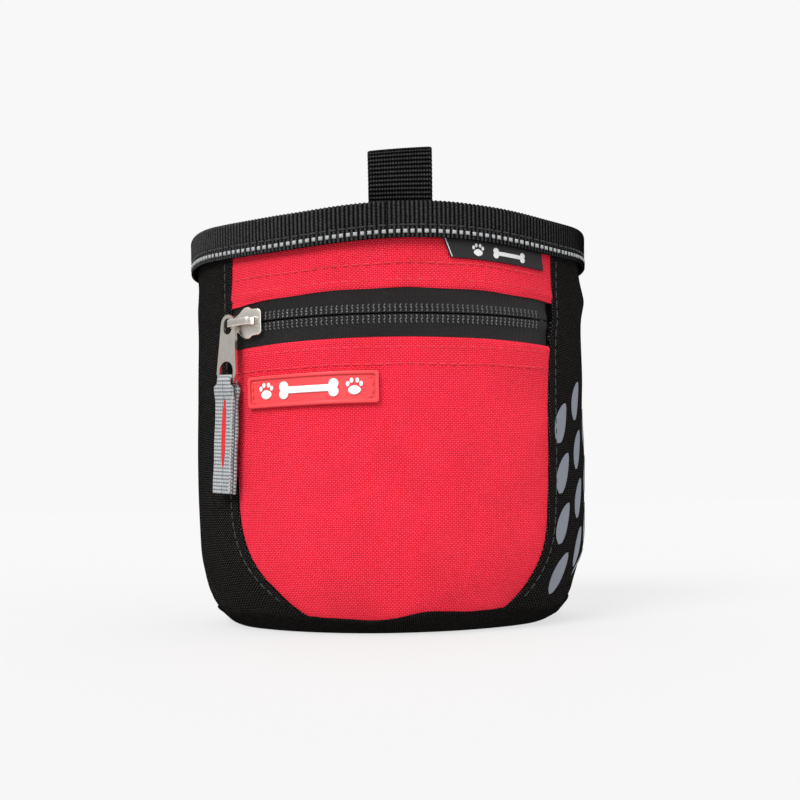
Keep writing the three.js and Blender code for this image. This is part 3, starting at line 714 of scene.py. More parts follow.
PRINT = printed("reflective print", (0.175, 0.192, 0.23))
LABEL = woven("label satin", grey(0.003), grey(0.020), (0.24, 0.3), 0.03, 0.5, 0.25)
LABEL_WHITE = woven("label white", grey(0.50), grey(0.85), (0.24, 0.3), 0.03, 0.6, 0.2)
# The zip thread's grey is its own dark colour, lifted as a painted highlight on the coil's loops.
ZIP_THREAD = thread("zip thread", grey(0.16), 0.3)
RED_THREAD = thread("red thread", (0.70, 0.012, 0.030), 0.55)
BLACK_THREAD = thread("black thread", grey(0.010), 0.5)
STEEL = metal("satin nickel", NICKEL, 0.27)
CLIP_STEEL = metal("blackened spring steel", (0.05, 0.05, 0.055), 0.42, coat=0.3)
RED_RUBBER = moulded("red rubber", (0.68, 0.036, 0.044), 0.42)
WHITE_RUBBER = moulded("white rubber", (0.76, 0.76, 0.76), 0.4)
STIFFENER = moulded("stiffener plastic", (0.03, 0.03, 0.03), 0.55)
COIL = moulded("coil nylon", (0.012, 0.012, 0.012), 0.35)
FOAM = foam("foam", (0.05, 0.05, 0.05))

# ---------------------------------------------------------------- camera, floor and light


BACKDROP = 0.94                 # the near-white that the camera sees behind the pouch and on the floor


def make_camera():
    """A level camera in front of the pouch, a little rolled, with its frame shifted up."""
    lens_px, frame_px, sensor = 1052.0, 800.0, 36.0
    distance = 330.4 + DEPTH / 2
    data = bpy.data.cameras.new("camera")
    data.sensor_width = sensor
    data.lens = lens_px / frame_px * sensor
    data.shift_y = 0.125
    data.shift_x = 0.0098
    data.clip_start, data.clip_end = 0.01, 20.0
    camera = bpy.data.objects.new("camera", data)
    camera.location = Vector((0.0, -distance, 43.9)) * MM
    roll = Matrix.Rotation(math.radians(1.03), 4, "Y")
    level = Matrix.Rotation(math.radians(90.0), 4, "X")
    camera.matrix_world = Matrix.Translation(camera.location) @ roll @ level
    bpy.context.scene.collection.objects.link(camera)
    bpy.context.scene.camera = camera


def make_floor():
    """A plain pale floor, lit a little from below so that shadows on it stay faint."""
    graph = Graph("floor", 0.9)
    mottle = graph.noise(3.0, 2.0)
    graph.set("Base Color", graph.shade((0.15, 0.15, 0.15), graph.math("MULTIPLY_ADD", mottle, 0.02, 0.985)))
    graph.set("Specular IOR Level", 0.1)
    graph.set("Emission Color", (1.0, 1.0, 1.0, 1.0))
    graph.set("Emission Strength", 0.67)
    mesh = bpy.data.meshes.new("floor")
    half = 6.0
    corners = [(-half, -half, 0), (half, -half, 0), (half, half, 0), (-half, half, 0)]
    mesh.from_pydata(corners, [], [(0, 1, 2, 3)])
    mesh.polygons.foreach_set("use_smooth", [True] * len(mesh.polygons))
    mesh.materials.append(graph.material)
    floor = bpy.data.objects.new("floor", mesh)
    bpy.context.scene.collection.objects.link(floor)


def make_world():
    """Studio surroundings: bright overhead and darker round about, seen by the camera as near white."""
    world = bpy.data.worlds.new("studio")
    world.use_nodes = True
    nodes, links = world.node_tree.nodes, world.node_tree.links
    place = nodes.new("ShaderNodeTexCoord")
    split = nodes.new("ShaderNodeSeparateXYZ")
    ramp = nodes.new("ShaderNodeValToRGB")
    links.new(place.outputs["Generated"], split.inputs[0])
    links.new(split.outputs["Z"], ramp.inputs[0])
    ramp.color_ramp.elements[0].position = 0.12
    ramp.color_ramp.elements[0].color = (0.42, 0.42, 0.42, 1.0)
    ramp.color_ramp.elements[1].position = 0.55
    ramp.color_ramp.elements[1].color = (0.90, 0.90, 0.90, 1.0)
    lit = nodes["Background"]
    links.new(ramp.outputs[0], lit.inputs[0])
    seen = nodes.new("ShaderNodeBackground")
    seen.inputs[0].default_value = (BACKDROP, BACKDROP, BACKDROP, 1.0)
    path = nodes.new("ShaderNodeLightPath")
    mix = nodes.new("ShaderNodeMixShader")
    links.new(path.outputs["Is Camera Ray"], mix.inputs[0])
    links.new(lit.outputs[0], mix.inputs[1])
    links.new(seen.outputs[0], mix.inputs[2])
    links.new(mix.outputs[0], nodes["World Output"].inputs[0])
    bpy.context.scene.world = world


def sun(name, place, strength, angle):
    """A distant soft light that shines from a place towards the pouch, the same over the whole floor."""
    data = bpy.data.lights.new(name, "SUN")
    data.energy = strength
    data.angle = math.radians(angle)
    light = bpy.data.objects.new(name, data)
    light.rotation_euler = Vector(place).to_track_quat("Z", "Y").to_euler()
    bpy.context.scene.collection.objects.link(light)


def make_light():
    """A soft key from the upper left, a weaker fill from the right and a light over the rim."""
    sun("key", (-0.55, -0.75, 0.80), 2.95, 30.0)
    sun("fill", (0.85, -0.60, 0.35), 0.85, 45.0)
    sun("top", (0.10, 0.20, 1.0), 0.50, 50.0)
    bpy.context.scene.view_settings.view_transform = "Standard"


# ---------------------------------------------------------------- wall panels


def edge_roll(distance, radius=0.9, drop=0.8):
    """How far a folded edge curves down, at a distance in from it."""
    if distance >= radius:
        return 0.0
    return drop * (1 - math.sqrt(max(0.0, 1 - (1 - distance / radius) ** 2)))


def pucker(along, distance, pitch=3.2, reach=4.0, height=0.07):
    """Small gathers beside a row of stitches, dying away from it."""
    sway = 1.2 * noise.noise(Vector((along / 7.0, 0.0, 8.1)))
    strength = 0.5 + noise.noise(Vector((along / 11.0, 4.0, 2.1)))
    wave = math.sin(2 * math.pi * (along / pitch + sway))
    return height * strength * wave * math.exp(-abs(distance) / reach)


def across_front(u, z, under):
    """The angle at a share u of the way across the red front, tucked a little under the side panels."""
    left, right = -front_edge(z, -1) - under, front_edge(z, 1) + under
    return left + (right - left) * u


def zip_droop(angle):
    """How far the fold above the zip sags towards the zip's two ends."""
    return (1.9 if angle < 0 else 1.2) * (abs(angle) / 40.0) ** 2.2


def zip_fold(along, away, rows):
    """Lift of the red cloth beside the zip: a padded fold, with gathers at its two rows of stitches."""
    lift = 0.65 * math.exp(-away / 6.0) - edge_roll(away, 0.7, 0.55)
    return lift + pucker(along, away - rows[0]) + pucker(along, away - rows[1], 3.7)


def red_panels():
    """The red front: a strip above the zip, and the U-shaped face of the pocket below it."""
    under = 1.2
    zip_edge_low, zip_edge_high = ZIP_LOW - 0.1, ZIP_HIGH + 0.1

    def upper(u, v):
        z = zip_edge_high + (PANEL_TOP - zip_edge_high) * v
        angle = across_front(u, z, under)
        z -= zip_droop(angle) * max(0.0, 1 - v * 3)
        along = arc_length(angle)
        up = z - zip_edge_high
        lift = zip_fold(along, up, ROWS_ABOVE_ZIP)
        return angle, z + 0.12 * math.sin(along / 4.0), lift

    strip = shell("front_strip", 150, 26, upper, PANEL_THICKNESS, RED_FABRIC)
    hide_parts("front_upper_panel")

    def lower(u, v):
        t = v ** 1.25
        middle = SEAM_Z + (zip_edge_low - SEAM_Z) * t
        angle = across_front(u, middle, under)
        bottom = seam_height(angle)
        z = bottom + (zip_edge_low - bottom) * t
        down = zip_edge_low - z
        z += (0.9 - 0.8 * (angle / 40.0) ** 2) * max(0.0, 1 - down / 14.0)
        along = arc_length(angle)
        lift = zip_fold(along, down, ROWS_BELOW_ZIP)
        lift += 0.25 * bell(z, seam_height(angle) + 2.0, 3.0) * math.sin(along / 5.0 + 1.0)
        return angle, z, lift

    face = shell("pocket_face", 150, 110, lower, PANEL_THICKNESS, RED_FABRIC)
    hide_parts("front_lower_panel")


def side_edge(z, side):
    return front_edge(z, side) - 0.15


def side_lift(angle, z):
    """Height of a side panel's surface, which rises to its folded, topstitched front edge."""
    inward = (abs(angle) - side_edge(z, 1 if angle >= 0 else -1)) * 1.25
    lift = 0.95 * math.exp(-max(inward, 0.0) / 6.0) - edge_roll(inward, 1.1, 1.0)
    lift += pucker(z + arc_length(angle) * 0.1, inward - 3.6, 3.6, 3.0, 0.10) - 0.25 * bell(inward, 3.6, 0.7)
    return lift + 0.3 * bell(z, SEAM_Z + 2.0, 3.0) * math.sin(arc_length(angle) / 4.0)


def side_panels():
    """The black sides, folded over the red front with a raised edge."""

    def make(name, side, node):
        def place(u, v):
            t = v ** 1.3
            front = side_edge(SEAM_Z + (PANEL_TOP - SEAM_Z) * t, side)
            w = u if side > 0 else 1 - u
            angle = side * (front + (SIDE_BACK - front) * w ** 1.15)
            bottom = seam_height(angle)
            z = bottom + (PANEL_TOP - bottom) * t
            return angle, z, side_lift(angle, z)

        panel = shell(name, 130, 120, place, PANEL_THICKNESS, BLACK_FABRIC)
        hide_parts(node)

    make("side_right", 1, "side_panel_right")
    make("side_left", -1, "side_panel_left")


def back_wall():
    """The back panel, lapped over the sides."""
    edge = SIDE_BACK - 0.8

    def place(u, v):
        angle = edge + (360.0 - 2 * edge) * u
        t = v ** 1.3
        bottom = seam_height(angle)
        z = bottom + (PANEL_TOP - bottom) * t
        inward = min(u, 1 - u) * (360.0 - 2 * edge) * 1.1
        lift = 0.9 * math.exp(-inward / 6.0) - edge_roll(inward, 1.1, 1.0)
        lift += pucker(z, inward - 3.4, 3.6, 3.0, 0.10)
        lift += 0.3 * bell(z, bottom + 2.0, 3.0) * math.sin(arc_length(signed(angle)) / 4.0)
        return angle, z, lift

    panel = shell("back_wall", 120, 100, place, PANEL_THICKNESS, BLACK_FABRIC)
    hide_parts("back_panel")


def hoop():
    """The stiffener inside the rim, which keeps the mouth open and dips with it."""
    low, high = node_box("rim_hoop")

    def place(u, v):
        return 360.0 * u, low.z + (high.z - low.z - 0.8) * v, -1.6

    piece = shell("hoop_strip", 120, 6, place, 0.8, STIFFENER, wrapped=True)
    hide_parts("rim_hoop")


def wall_padding():
    """The foam behind the skin, which follows its creases."""
    low, high = node_box("foam_wall")

    def place(u, v):
        angle = 360.0 * u
        depth = 4.3 if abs(signed(angle)) < 48.0 else 1.9
        return angle, low.z + (high.z - low.z) * v, -depth - 0.2

    padding = shell("wall_padding", 120, 40, place, 1.4, FOAM, wrapped=True)
    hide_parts("foam_wall")


def lining():
    """The loose lining inside, with soft vertical waves, and its base."""
    gather_from, gather_to = 118.0, 127.0

    def place(u, v):
        angle = 360.0 * u
        z = SEAM_Z + (HEIGHT - 2.2 - SEAM_Z) * v
        gather = min(max((z - gather_from) / (gather_to - gather_from), 0.0), 1.0)
        depth = 6.2 - 3.4 * gather * gather * (3 - 2 * gather)
        along = arc_length(signed(angle))
        wave = noise.noise(Vector((along / 12.0, z / 45.0, 1.3))) * 1.1
        return angle, z, -depth + wave * min(1.0, (HEIGHT - 12.0 - z) / 30.0 if z < HEIGHT - 12.0 else 0.0)

    wall = shell("lining_inside", 220, 90, place, 0.5, LINING, wrapped=True)
    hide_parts("lining_wall")
    columns, rings = 120, 30
    high = node_box("lining_base")[1]
    points, uvs, faces = [Vector((0, 0, high.z))], [(0, 0)], []
    edge = -skin_sink(SEAM_Z) - 6.0
    for r in range(1, rings + 1):
        for c in range(columns):
            x, y = plan_point(360.0 * c / columns, edge)
            t = r / rings
            z = high.z + 0.5 * noise.noise(Vector((x * t / 14.0, y * t / 14.0, 5.0))) + 1.6 * t ** 14
            points.append(Vector((x * t, y * t, z)))
            uvs.append((x * t, y * t))
    for r in range(rings):
        for c in range(columns):
            d = (c + 1) % columns
            a, b = 1 + r * columns + c, 1 + r * columns + d
            faces.append((0, a, b) if r == 0 else (a - columns, a, b, b - columns))
    floor = make_mesh("lining_floor", points, faces, LINING, "bag", uvs)
    solid = floor.modifiers.new("cloth", "SOLIDIFY")
    solid.thickness = 0.5 * MM
    solid.offset = -1.0
    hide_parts("lining_base")


def base():
    """The base fabric: it starts as a puckered roll under the seam and lies flat on the floor."""
    columns, wall_rows, flat_rows = 300, 16, 12

    def outer(angle, v):
        """v runs from 0 at the seam to 1 at the edge of the flat underside."""
        seam = seam_height(angle) + 0.5
        z = seam * (1 - v) ** 1.3
        along = arc_length(signed(angle))
        fold = noise.noise(Vector((along / 5.0, z / 9.0, 2.2)))
        lift = 0.7 * bell(v, 0.12, 0.16) - 1.0 * max(0.0, 1 - v / 0.06) + 0.7 * fold * bell(v, 0.3, 0.3)
        lift -= 0.8 * bell(signed(angle), 70.0, 14.0)
        return wall_point(angle, z, lift)

    points, uvs = [], []
    for r in range(wall_rows + 1):
        for c in range(columns):
            angle = 360.0 * c / columns
            p = outer(angle, r / wall_rows)
            points.append(p)
            uvs.append((arc_length(signed(angle)), p.z - 2.0 * r))
    rim = points[-columns:]
    for r in range(1, flat_rows):
        t = 1 - r / flat_rows
        for c in range(columns):
            x, y = rim[c].x * t, rim[c].y * t
            wave = 0.25 * (1 + noise.noise(Vector((x / 16.0, y / 16.0, 9.0)))) * (1 - t)
            points.append(Vector((x, y, 0.02 + wave)))
            uvs.append((x, y))
    points.append(Vector((0, 0, 0.3)))
    uvs.append((0, 0))
    faces = []
    rows = wall_rows + flat_rows
    for r in range(rows):
        for c in range(columns):
            d = (c + 1) % columns
            a, b = r * columns + c, r * columns + d
            faces.append((a, len(points) - 1, b) if r == rows - 1 else (a, a + columns, b + columns, b))
    piece = make_mesh("base_cloth", points, faces, BLACK_FABRIC, "bag", uvs)
    solid = piece.modifiers.new("cloth", "SOLIDIFY")
    solid.thickness = 0.8 * MM
    solid.offset = -1.0
    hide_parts("base_panel")


# ---------------------------------------------------------------- rim


def rim_profile():
    """Points round the folded tape's section: (offset, z, normal offset, normal z, length along it)."""
    outer, inner, top, low = -0.45, -7.2, HEIGHT - 0.15, RIM_LOW.z
    corner = 1.3
    turns = spaced(0, 90, 6)[1:]
    path = [(outer, z) for z in spaced(low, top - corner, 22)]
    path += [(outer - corner + corner * cos_of(a), top - corner + corner * sin_of(a)) for a in turns]
    path += [(o, top) for o in spaced(outer - corner, inner + corner, 8)[1:]]
    path += [(inner + corner - corner * sin_of(a), top - corner + corner * cos_of(a)) for a in turns]
    path += [(inner, z) for z in spaced(top - corner, low, 14)[1:]]
    return path


def binding():
    """Grosgrain tape folded over the rim, with real ribs, a stitched groove and a lower selvedge."""
    rib, per_rib = 1.45, 4
    total = 2 * arc_length(180.0)
    ribs = int(total / rib)
    columns = ribs * per_rib
    path = rim_profile()
    spots = [plan_angle(total * c / columns) for c in range(columns)]
    sags = [rim_sag(angle) for angle in spots]
    length = [0.0]
    for (o0, z0), (o1, z1) in zip(path, path[1:]):
        length.append(length[-1] + math.hypot(o1 - o0, z1 - z0))
    points, uvs = [], []
    for inside in (0.0, 0.9):
        for k, (offset, z) in enumerate(path):
            o0, z0 = path[max(k - 1, 0)]
            o1, z1 = path[min(k + 1, len(path) - 1)]
            size = math.hypot(o1 - o0, z1 - z0)
            normal = ((z1 - z0) / size, -(o1 - o0) / size)
            for c, angle in enumerate(spots):
                along = total * c / columns
                wave = 0.16 * math.cos(2 * math.pi * c / per_rib)
                wave *= 1.0 - 0.75 * bell(z, RIM_LOW.z + 3.3, 0.5)
                groove = 0.28 * bell(z, RIM_LOW.z + 3.9, 0.55)
                sway = 0.12 * noise.noise(Vector((along / 20.0, z / 8.0, 6.0)))
                out = wave + sway - groove - inside
                x, y = plan_point(angle, offset + out * normal[0])
                points.append(Vector((x, y, z + out * normal[1] - sags[c])))
                uvs.append((along, length[k]))
    rows = len(path) - 1
    piece = make_mesh("binding_tape", points, grid_faces(columns, rows, True), BINDING, "bag", uvs, 60.0)
    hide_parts("rim_binding")


def reflective_dashes():
    """Woven reflective dashes in a row near the binding's lower edge."""
    pitch, wide, tall = 2.28, 1.35, 1.25
    low, high = node_box("reflective_trim")
    middle = (low.z + high.z) / 2
    total = 2 * arc_length(180.0)
    count = int(total / pitch)
    points, faces, uvs = [], [], []
    for k in range(count):
        centre = (k + 0.5) * total / count
        base = len(points)
        for lift in (-0.25, 0.3):
            for v in (-1.0, -0.75, 0.75, 1.0):
                for u in (-1.0, -0.7, 0.7, 1.0):
                    edge = max(abs(u), abs(v)) > 0.99
                    angle = plan_angle((centre + u * wide / 2) % total)
                    x, y = plan_point(angle, -0.45 + (min(lift, 0.02) if edge else lift))
                    points.append(Vector((x, y, middle + v * tall / 2 - rim_sag(angle))))
                    uvs.append((centre + u * wide / 2, v * tall / 2))
        for r in range(3):
            for c in range(3):
                a = base + 16 + r * 4 + c
                faces.append((a, a + 1, a + 5, a + 4))
                b = a - 16
                faces.append((b, b + 4, b + 5, b + 1))
        for c in range(3):
            a = base + c
            faces.append((a, a + 1, a + 17, a + 16))
            b = base + 12 + c
            faces.append((b, b + 16, b + 17, b + 1))
            d = base + 4 * c
            faces.append((d, d + 16, d + 20, d + 4))
            e = d + 3
            faces.append((e, e + 4, e + 20, e + 16))
    piece = make_mesh("dash_row", points, faces, REFLECTIVE, "bag", uvs, 60.0)
    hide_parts("reflective_trim")


def rim_stitching():
    """The row of stitches that holds the binding, outside and inside."""
    total = 2 * arc_length(180.0)
    steps = 360
    for name, offset, z, out in (("binding_stitches", -0.7, RIM_LOW.z + 3.9, 1.0),
                                 ("binding_stitches_inside", -7.0, RIM_LOW.z + 3.2, -1.0)):
        route = []
        for k in range(steps + 1):
            angle = plan_angle(total * k / steps % total)
            x, y = plan_point(angle, offset)
            nx, ny = plan_point(angle, offset + out)
            route.append((Vector((x, y, z - rim_sag(angle))), Vector((nx - x, ny - y, 0.0))))
        stitch_row(name, route, BLACK_THREAD, length=2.6, gap=0.6, radius=0.28)


# ---------------------------------------------------------------- stitching on the walls


def topstitching():
    """Rows of red thread above and below the zip, and black rows along the side and back seams."""
    reach = PANEL_EDGE - 1.5
    rows = [ZIP_HIGH + up for up in ROWS_ABOVE_ZIP] + [ZIP_LOW - down for down in ROWS_BELOW_ZIP]
    for k, z in enumerate(rows):
        spots = [(angle, z + 0.15 * math.sin(angle / 3.0)) for angle in spaced(-reach, reach, 160)]
        stitch_row(f"zip_topstitch_{k}", wall_route(spots, 0.2), RED_THREAD,
                   length=2.7, gap=0.7, radius=0.30, raise_by=0.06)
    heights = spaced(SEAM_Z + 3.5, RIM_LOW.z - 0.5, 220)
    inset = 3.6 / 1.25
    back = SIDE_BACK - 0.8 + 3.4
    stitch = {"length": 2.6, "gap": 0.7, "radius": 0.26, "raise_by": 0.05}
    for name, side in (("right", 1), ("left", -1)):
        route = wall_route([(side * (side_edge(z, side) + inset), z) for z in heights], 0.35)
        stitch_row(f"side_topstitch_{name}", route, BLACK_THREAD, **stitch)
        route = wall_route([(side * back, z) for z in heights], 0.35)
        stitch_row(f"back_topstitch_{name}", route, BLACK_THREAD, **stitch)


# ---------------------------------------------------------------- zip

TOOTH = 1.75                    # pitch of the coil's turns along the zip
# Rows of the coil's sewing on each side of the joint: (near end, far end, slant along the zip, lift).
SEWING_ROWS = ((0.45, 1.25, 0.30, 0.36), (1.45, 2.15, -0.30, 0.34), (2.35, 3.0, 0.25, 0.18))


def zip_tapes():
    """Two coated tapes whose folded edges meet over the coil, scalloped where its thread pulls them."""

    def tape(name, side, node):
        outer_z = ZIP_HIGH + 1.6 if side > 0 else ZIP_LOW - 1.6

        def place(u, v):
            angle = (2 * u - 1) * 42.9
            along = arc_length(angle)
            t = v if side > 0 else 1 - v
            notch = 0.10 + 0.18 * (0.5 + 0.5 * math.cos(2 * math.pi * along / TOOTH)) ** 2
            near = ZIP_Z + side * notch
            z = near + (outer_z - near) * t ** 1.5
            away = abs(z - ZIP_Z)
            lift = -0.1 + 0.55 * math.exp(-((away / 2.9) ** 4)) - edge_roll(away - notch, 0.5, 0.35)
            lift += 0.05 * math.cos(2 * math.pi * along / TOOTH) * math.exp(-((away - 1.2) / 1.2) ** 2)
            return angle, z, lift

        strip = shell(name, 420, 22, place, 0.45, ZIP_TAPE, sharp=70.0)
        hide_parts(node)

    tape("tape_upper", 1, "zipper_tape_upper")
    tape("tape_lower", -1, "zipper_tape_lower")


def zip_loops():
    """The coil's sewing, which shows as rows of small thread loops beside the joint."""
    points, faces = [], []
    reach = 40.5
    count = int(2 * arc_length(reach) / TOOTH)
    for k in range(count):
        along = -arc_length(reach) + TOOTH * (k + 0.5)
        for side in (-1, 1):
            for near, far, slant, lift in SEWING_ROWS:
                route = []
                for t in (0.0, 0.5, 1.0):
                    high = lift + (0.12 if t == 0.5 else -0.06)
                    angle = wall_angle(along + slant * (2 * t - 1))
                    z = ZIP_Z + side * (near + (far - near) * t)
                    p = wall_point(angle, z, high)
                    route.append((p, (wall_point(angle, z, high + 1.0) - p).normalized()))
                more, loops = tube([p for p, _ in route], [n for _, n in route], 0.21, 5)
                base = len(points)
                points += more
                faces += [tuple(base + i for i in loop) for loop in loops]
    make_mesh("zip_stitch_loops", points, faces, ZIP_THREAD, "bag", [(p.x, p.z) for p in points], 60.0)


# ---------------------------------------------------------------- slider and pull

SLIDER_ANGLE = -36.4
SLIDER_RADIUS = FRONT_RADIUS - skin_sink(ZIP_Z)
RING_X = -5.9                   # the tab's ring hangs on the bail here, along the slider
HANG = 4.0                      # the pull hangs this far off the vertical


def slider_point(x, lift, z):
    """From the slider's own frame (along the zip, out of the wall, up) to the pouch's."""
    turn = math.radians(SLIDER_ANGLE)
    y = -(SLIDER_RADIUS + lift)
    across = x * math.cos(turn) - y * math.sin(turn)
    deep = ZIP_CENTRE_Y + x * math.sin(turn) + y * math.cos(turn)
    return Vector((across, deep, z))


def pull_point(x, lift, z):
    """From the pull's frame (across it, out of the wall, up from its ring) to the pouch's."""
    along = RING_X + x * cos_of(HANG) + z * sin_of(HANG)
    return slider_point(along, lift, ZIP_Z - x * sin_of(HANG) + z * cos_of(HANG))


def smooth_outline(half, steps=4):
    """A closed outline, mirrored about x, from half of its corners, with softened corners."""
    corners = [(x, -z) for x, z in half] + [(x, z) for x, z in reversed(half)]
    return rounded(corners, 1.6, steps)


def slider():
    """The die-cast slider: a domed shoulder plate with a rear plate behind the coil."""
    half = [(-6.2, 2.2), (-3.4, 3.0), (-2.0, 4.4), (-0.6, 5.3),
            (1.0, 5.3), (2.2, 4.5), (5.4, 4.3), (6.2, 3.6)]
    form = plate_mesh([smooth_outline(half)], 1.05, 0.4)
    slice_up(form, 0.8)
    points, faces = take(form)
    placed = []
    for p in points:
        dome = 0.5 * (1 - (p.y / 5.5) ** 2) * max(0.0, min(1.0, (6.2 - abs(p.x)) / 2.0))
        placed.append(slider_point(p.x, 1.24 + p.z + (dome if p.z > 0 else 0.0), ZIP_Z + p.y))
    rear = plate_mesh([rounded([(-6.0, -3.2), (6.0, -3.2), (6.0, 3.2), (-6.0, 3.2)], 1.2)], 0.5, 0.1)
    rear_points, rear_faces = take(rear)
    base = len(placed)
    placed += [slider_point(p.x, -2.75 + p.z, ZIP_Z + p.y) for p in rear_points]
    faces = list(faces) + [tuple(base + i for i in face) for face in rear_faces]
    piece = make_mesh("slider_shell", placed, faces, STEEL, "slider", sharp=35.0)
    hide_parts("slider_body")


def sweep(path, widths, thickness, frame_point, corner=0.35):
    """Points and faces of a strap with rounded edges swept along a path of (x, lift)."""
    points, faces = [], []
    count = len(path)
    for k, (x, lift) in enumerate(path):
        x0, l0 = path[max(k - 1, 0)]
        x1, l1 = path[min(k + 1, count - 1)]
        size = math.hypot(x1 - x0, l1 - l0)
        normal = (-(l1 - l0) / size, (x1 - x0) / size)
        half, deep = widths[k] / 2, thickness / 2
        section = rounded([(-half, -deep), (half, -deep), (half, deep), (-half, deep)], corner, 3)
        points += [frame_point(x + normal[0] * d, lift + normal[1] * d, z) for z, d in section]
        sides = len(section)
    for k in range(count - 1):
        for c in range(sides):
            d = (c + 1) % sides
            faces.append((k * sides + c, k * sides + d, (k + 1) * sides + d, (k + 1) * sides + c))
    faces.append(tuple(range(sides - 1, -1, -1)))
    faces.append(tuple((count - 1) * sides + c for c in range(sides)))
    return points, faces


def curve_through(corners, steps=8):
    """A smooth open path through corners (a Catmull-Rom curve)."""
    path = []
    for k in range(len(corners) - 1):
        a = Vector(corners[max(k - 1, 0)])
        b, c = Vector(corners[k]), Vector(corners[k + 1])
        d = Vector(corners[min(k + 2, len(corners) - 1)])
        for s in range(steps):
            t = s / steps
            square = (2 * a - 5 * b + 4 * c - d) * t * t
            cube = (3 * b - a - 3 * c + d) * t ** 3
            path.append(0.5 * (2 * b + (c - a) * t + square + cube))
    path.append(Vector(corners[-1]))
    return [tuple(p) for p in path]


def bail():
    """The strap over the slider: from a bump on its rear, along, then down through the pull's ring."""
    corners = [(4.5, 1.7), (4.6, 3.4), (3.6, 4.9), (1.0, 5.25),
               (-2.6, 5.25), (-5.0, 4.9), (-5.95, 3.4), (-5.9, 1.8)]
    path = curve_through(corners)
    widths = [2.9 if k < 12 else 2.5 for k in range(len(path))]
    points, faces = sweep(path, widths, 0.95, lambda x, lift, z: slider_point(x, lift, ZIP_Z + z))
    piece = make_mesh("slider_strap", points, faces, STEEL, "slider", sharp=50.0)
    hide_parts("slider_bail")


STRAP_LENGTH, STRAP_WIDTH, STRAP_NECK = 37.4, 8.4, 5.8
LAYER = 0.9                     # thickness of one layer of the folded webbing
TAB_LIFT = 3.95                 # of the tab's middle
BAR_Z = -18.7                   # of the tab's lower bar, below its ring
RIB = 1.2
STRAP_TURN = 1.62               # radius of the fold round the bar
STRAP_FLAT = 0.62               # the layers' distance from the middle lower down
STRAP_RISE = 2.4                # straight part below the fold


def strap_place(s):
    """The folded strap's centre line: (lift, z, outward normal) at a length from its front's lower end."""
    front = STRAP_LENGTH - STRAP_RISE
    turn = STRAP_TURN
    if s < front:
        ease = max(0.0, (s - front + 5.0) / 5.0)
        spread = STRAP_FLAT + (turn - STRAP_FLAT) * ease * ease * (3 - 2 * ease)
        return TAB_LIFT + spread, BAR_Z - STRAP_LENGTH + s, (1.0, 0.0)
    if s < front + STRAP_RISE:
        return TAB_LIFT + turn, BAR_Z - STRAP_LENGTH + s, (1.0, 0.0)
    if s < front + STRAP_RISE + math.pi * turn:
        a = (s - front - STRAP_RISE) / turn
        return TAB_LIFT + turn * math.cos(a), BAR_Z + turn * math.sin(a), (math.cos(a), math.sin(a))
    lift, z, _ = strap_place(max(2 * front + 2 * STRAP_RISE + math.pi * turn - s, 0.0))
    return 2 * TAB_LIFT - lift, z, (-1.0, 0.0)


def slit_half(z):
    """Half width of the front layer's slit at a height, pointed at both ends."""
    middle, half = BAR_Z - 17.6, 11.6
    inside = max(0.0, 1 - ((z - middle) / half) ** 2)
    return 1.05 * math.sqrt(inside) + 0.12 * noise.noise(Vector((z / 2.0, 0.0, 4.4)))


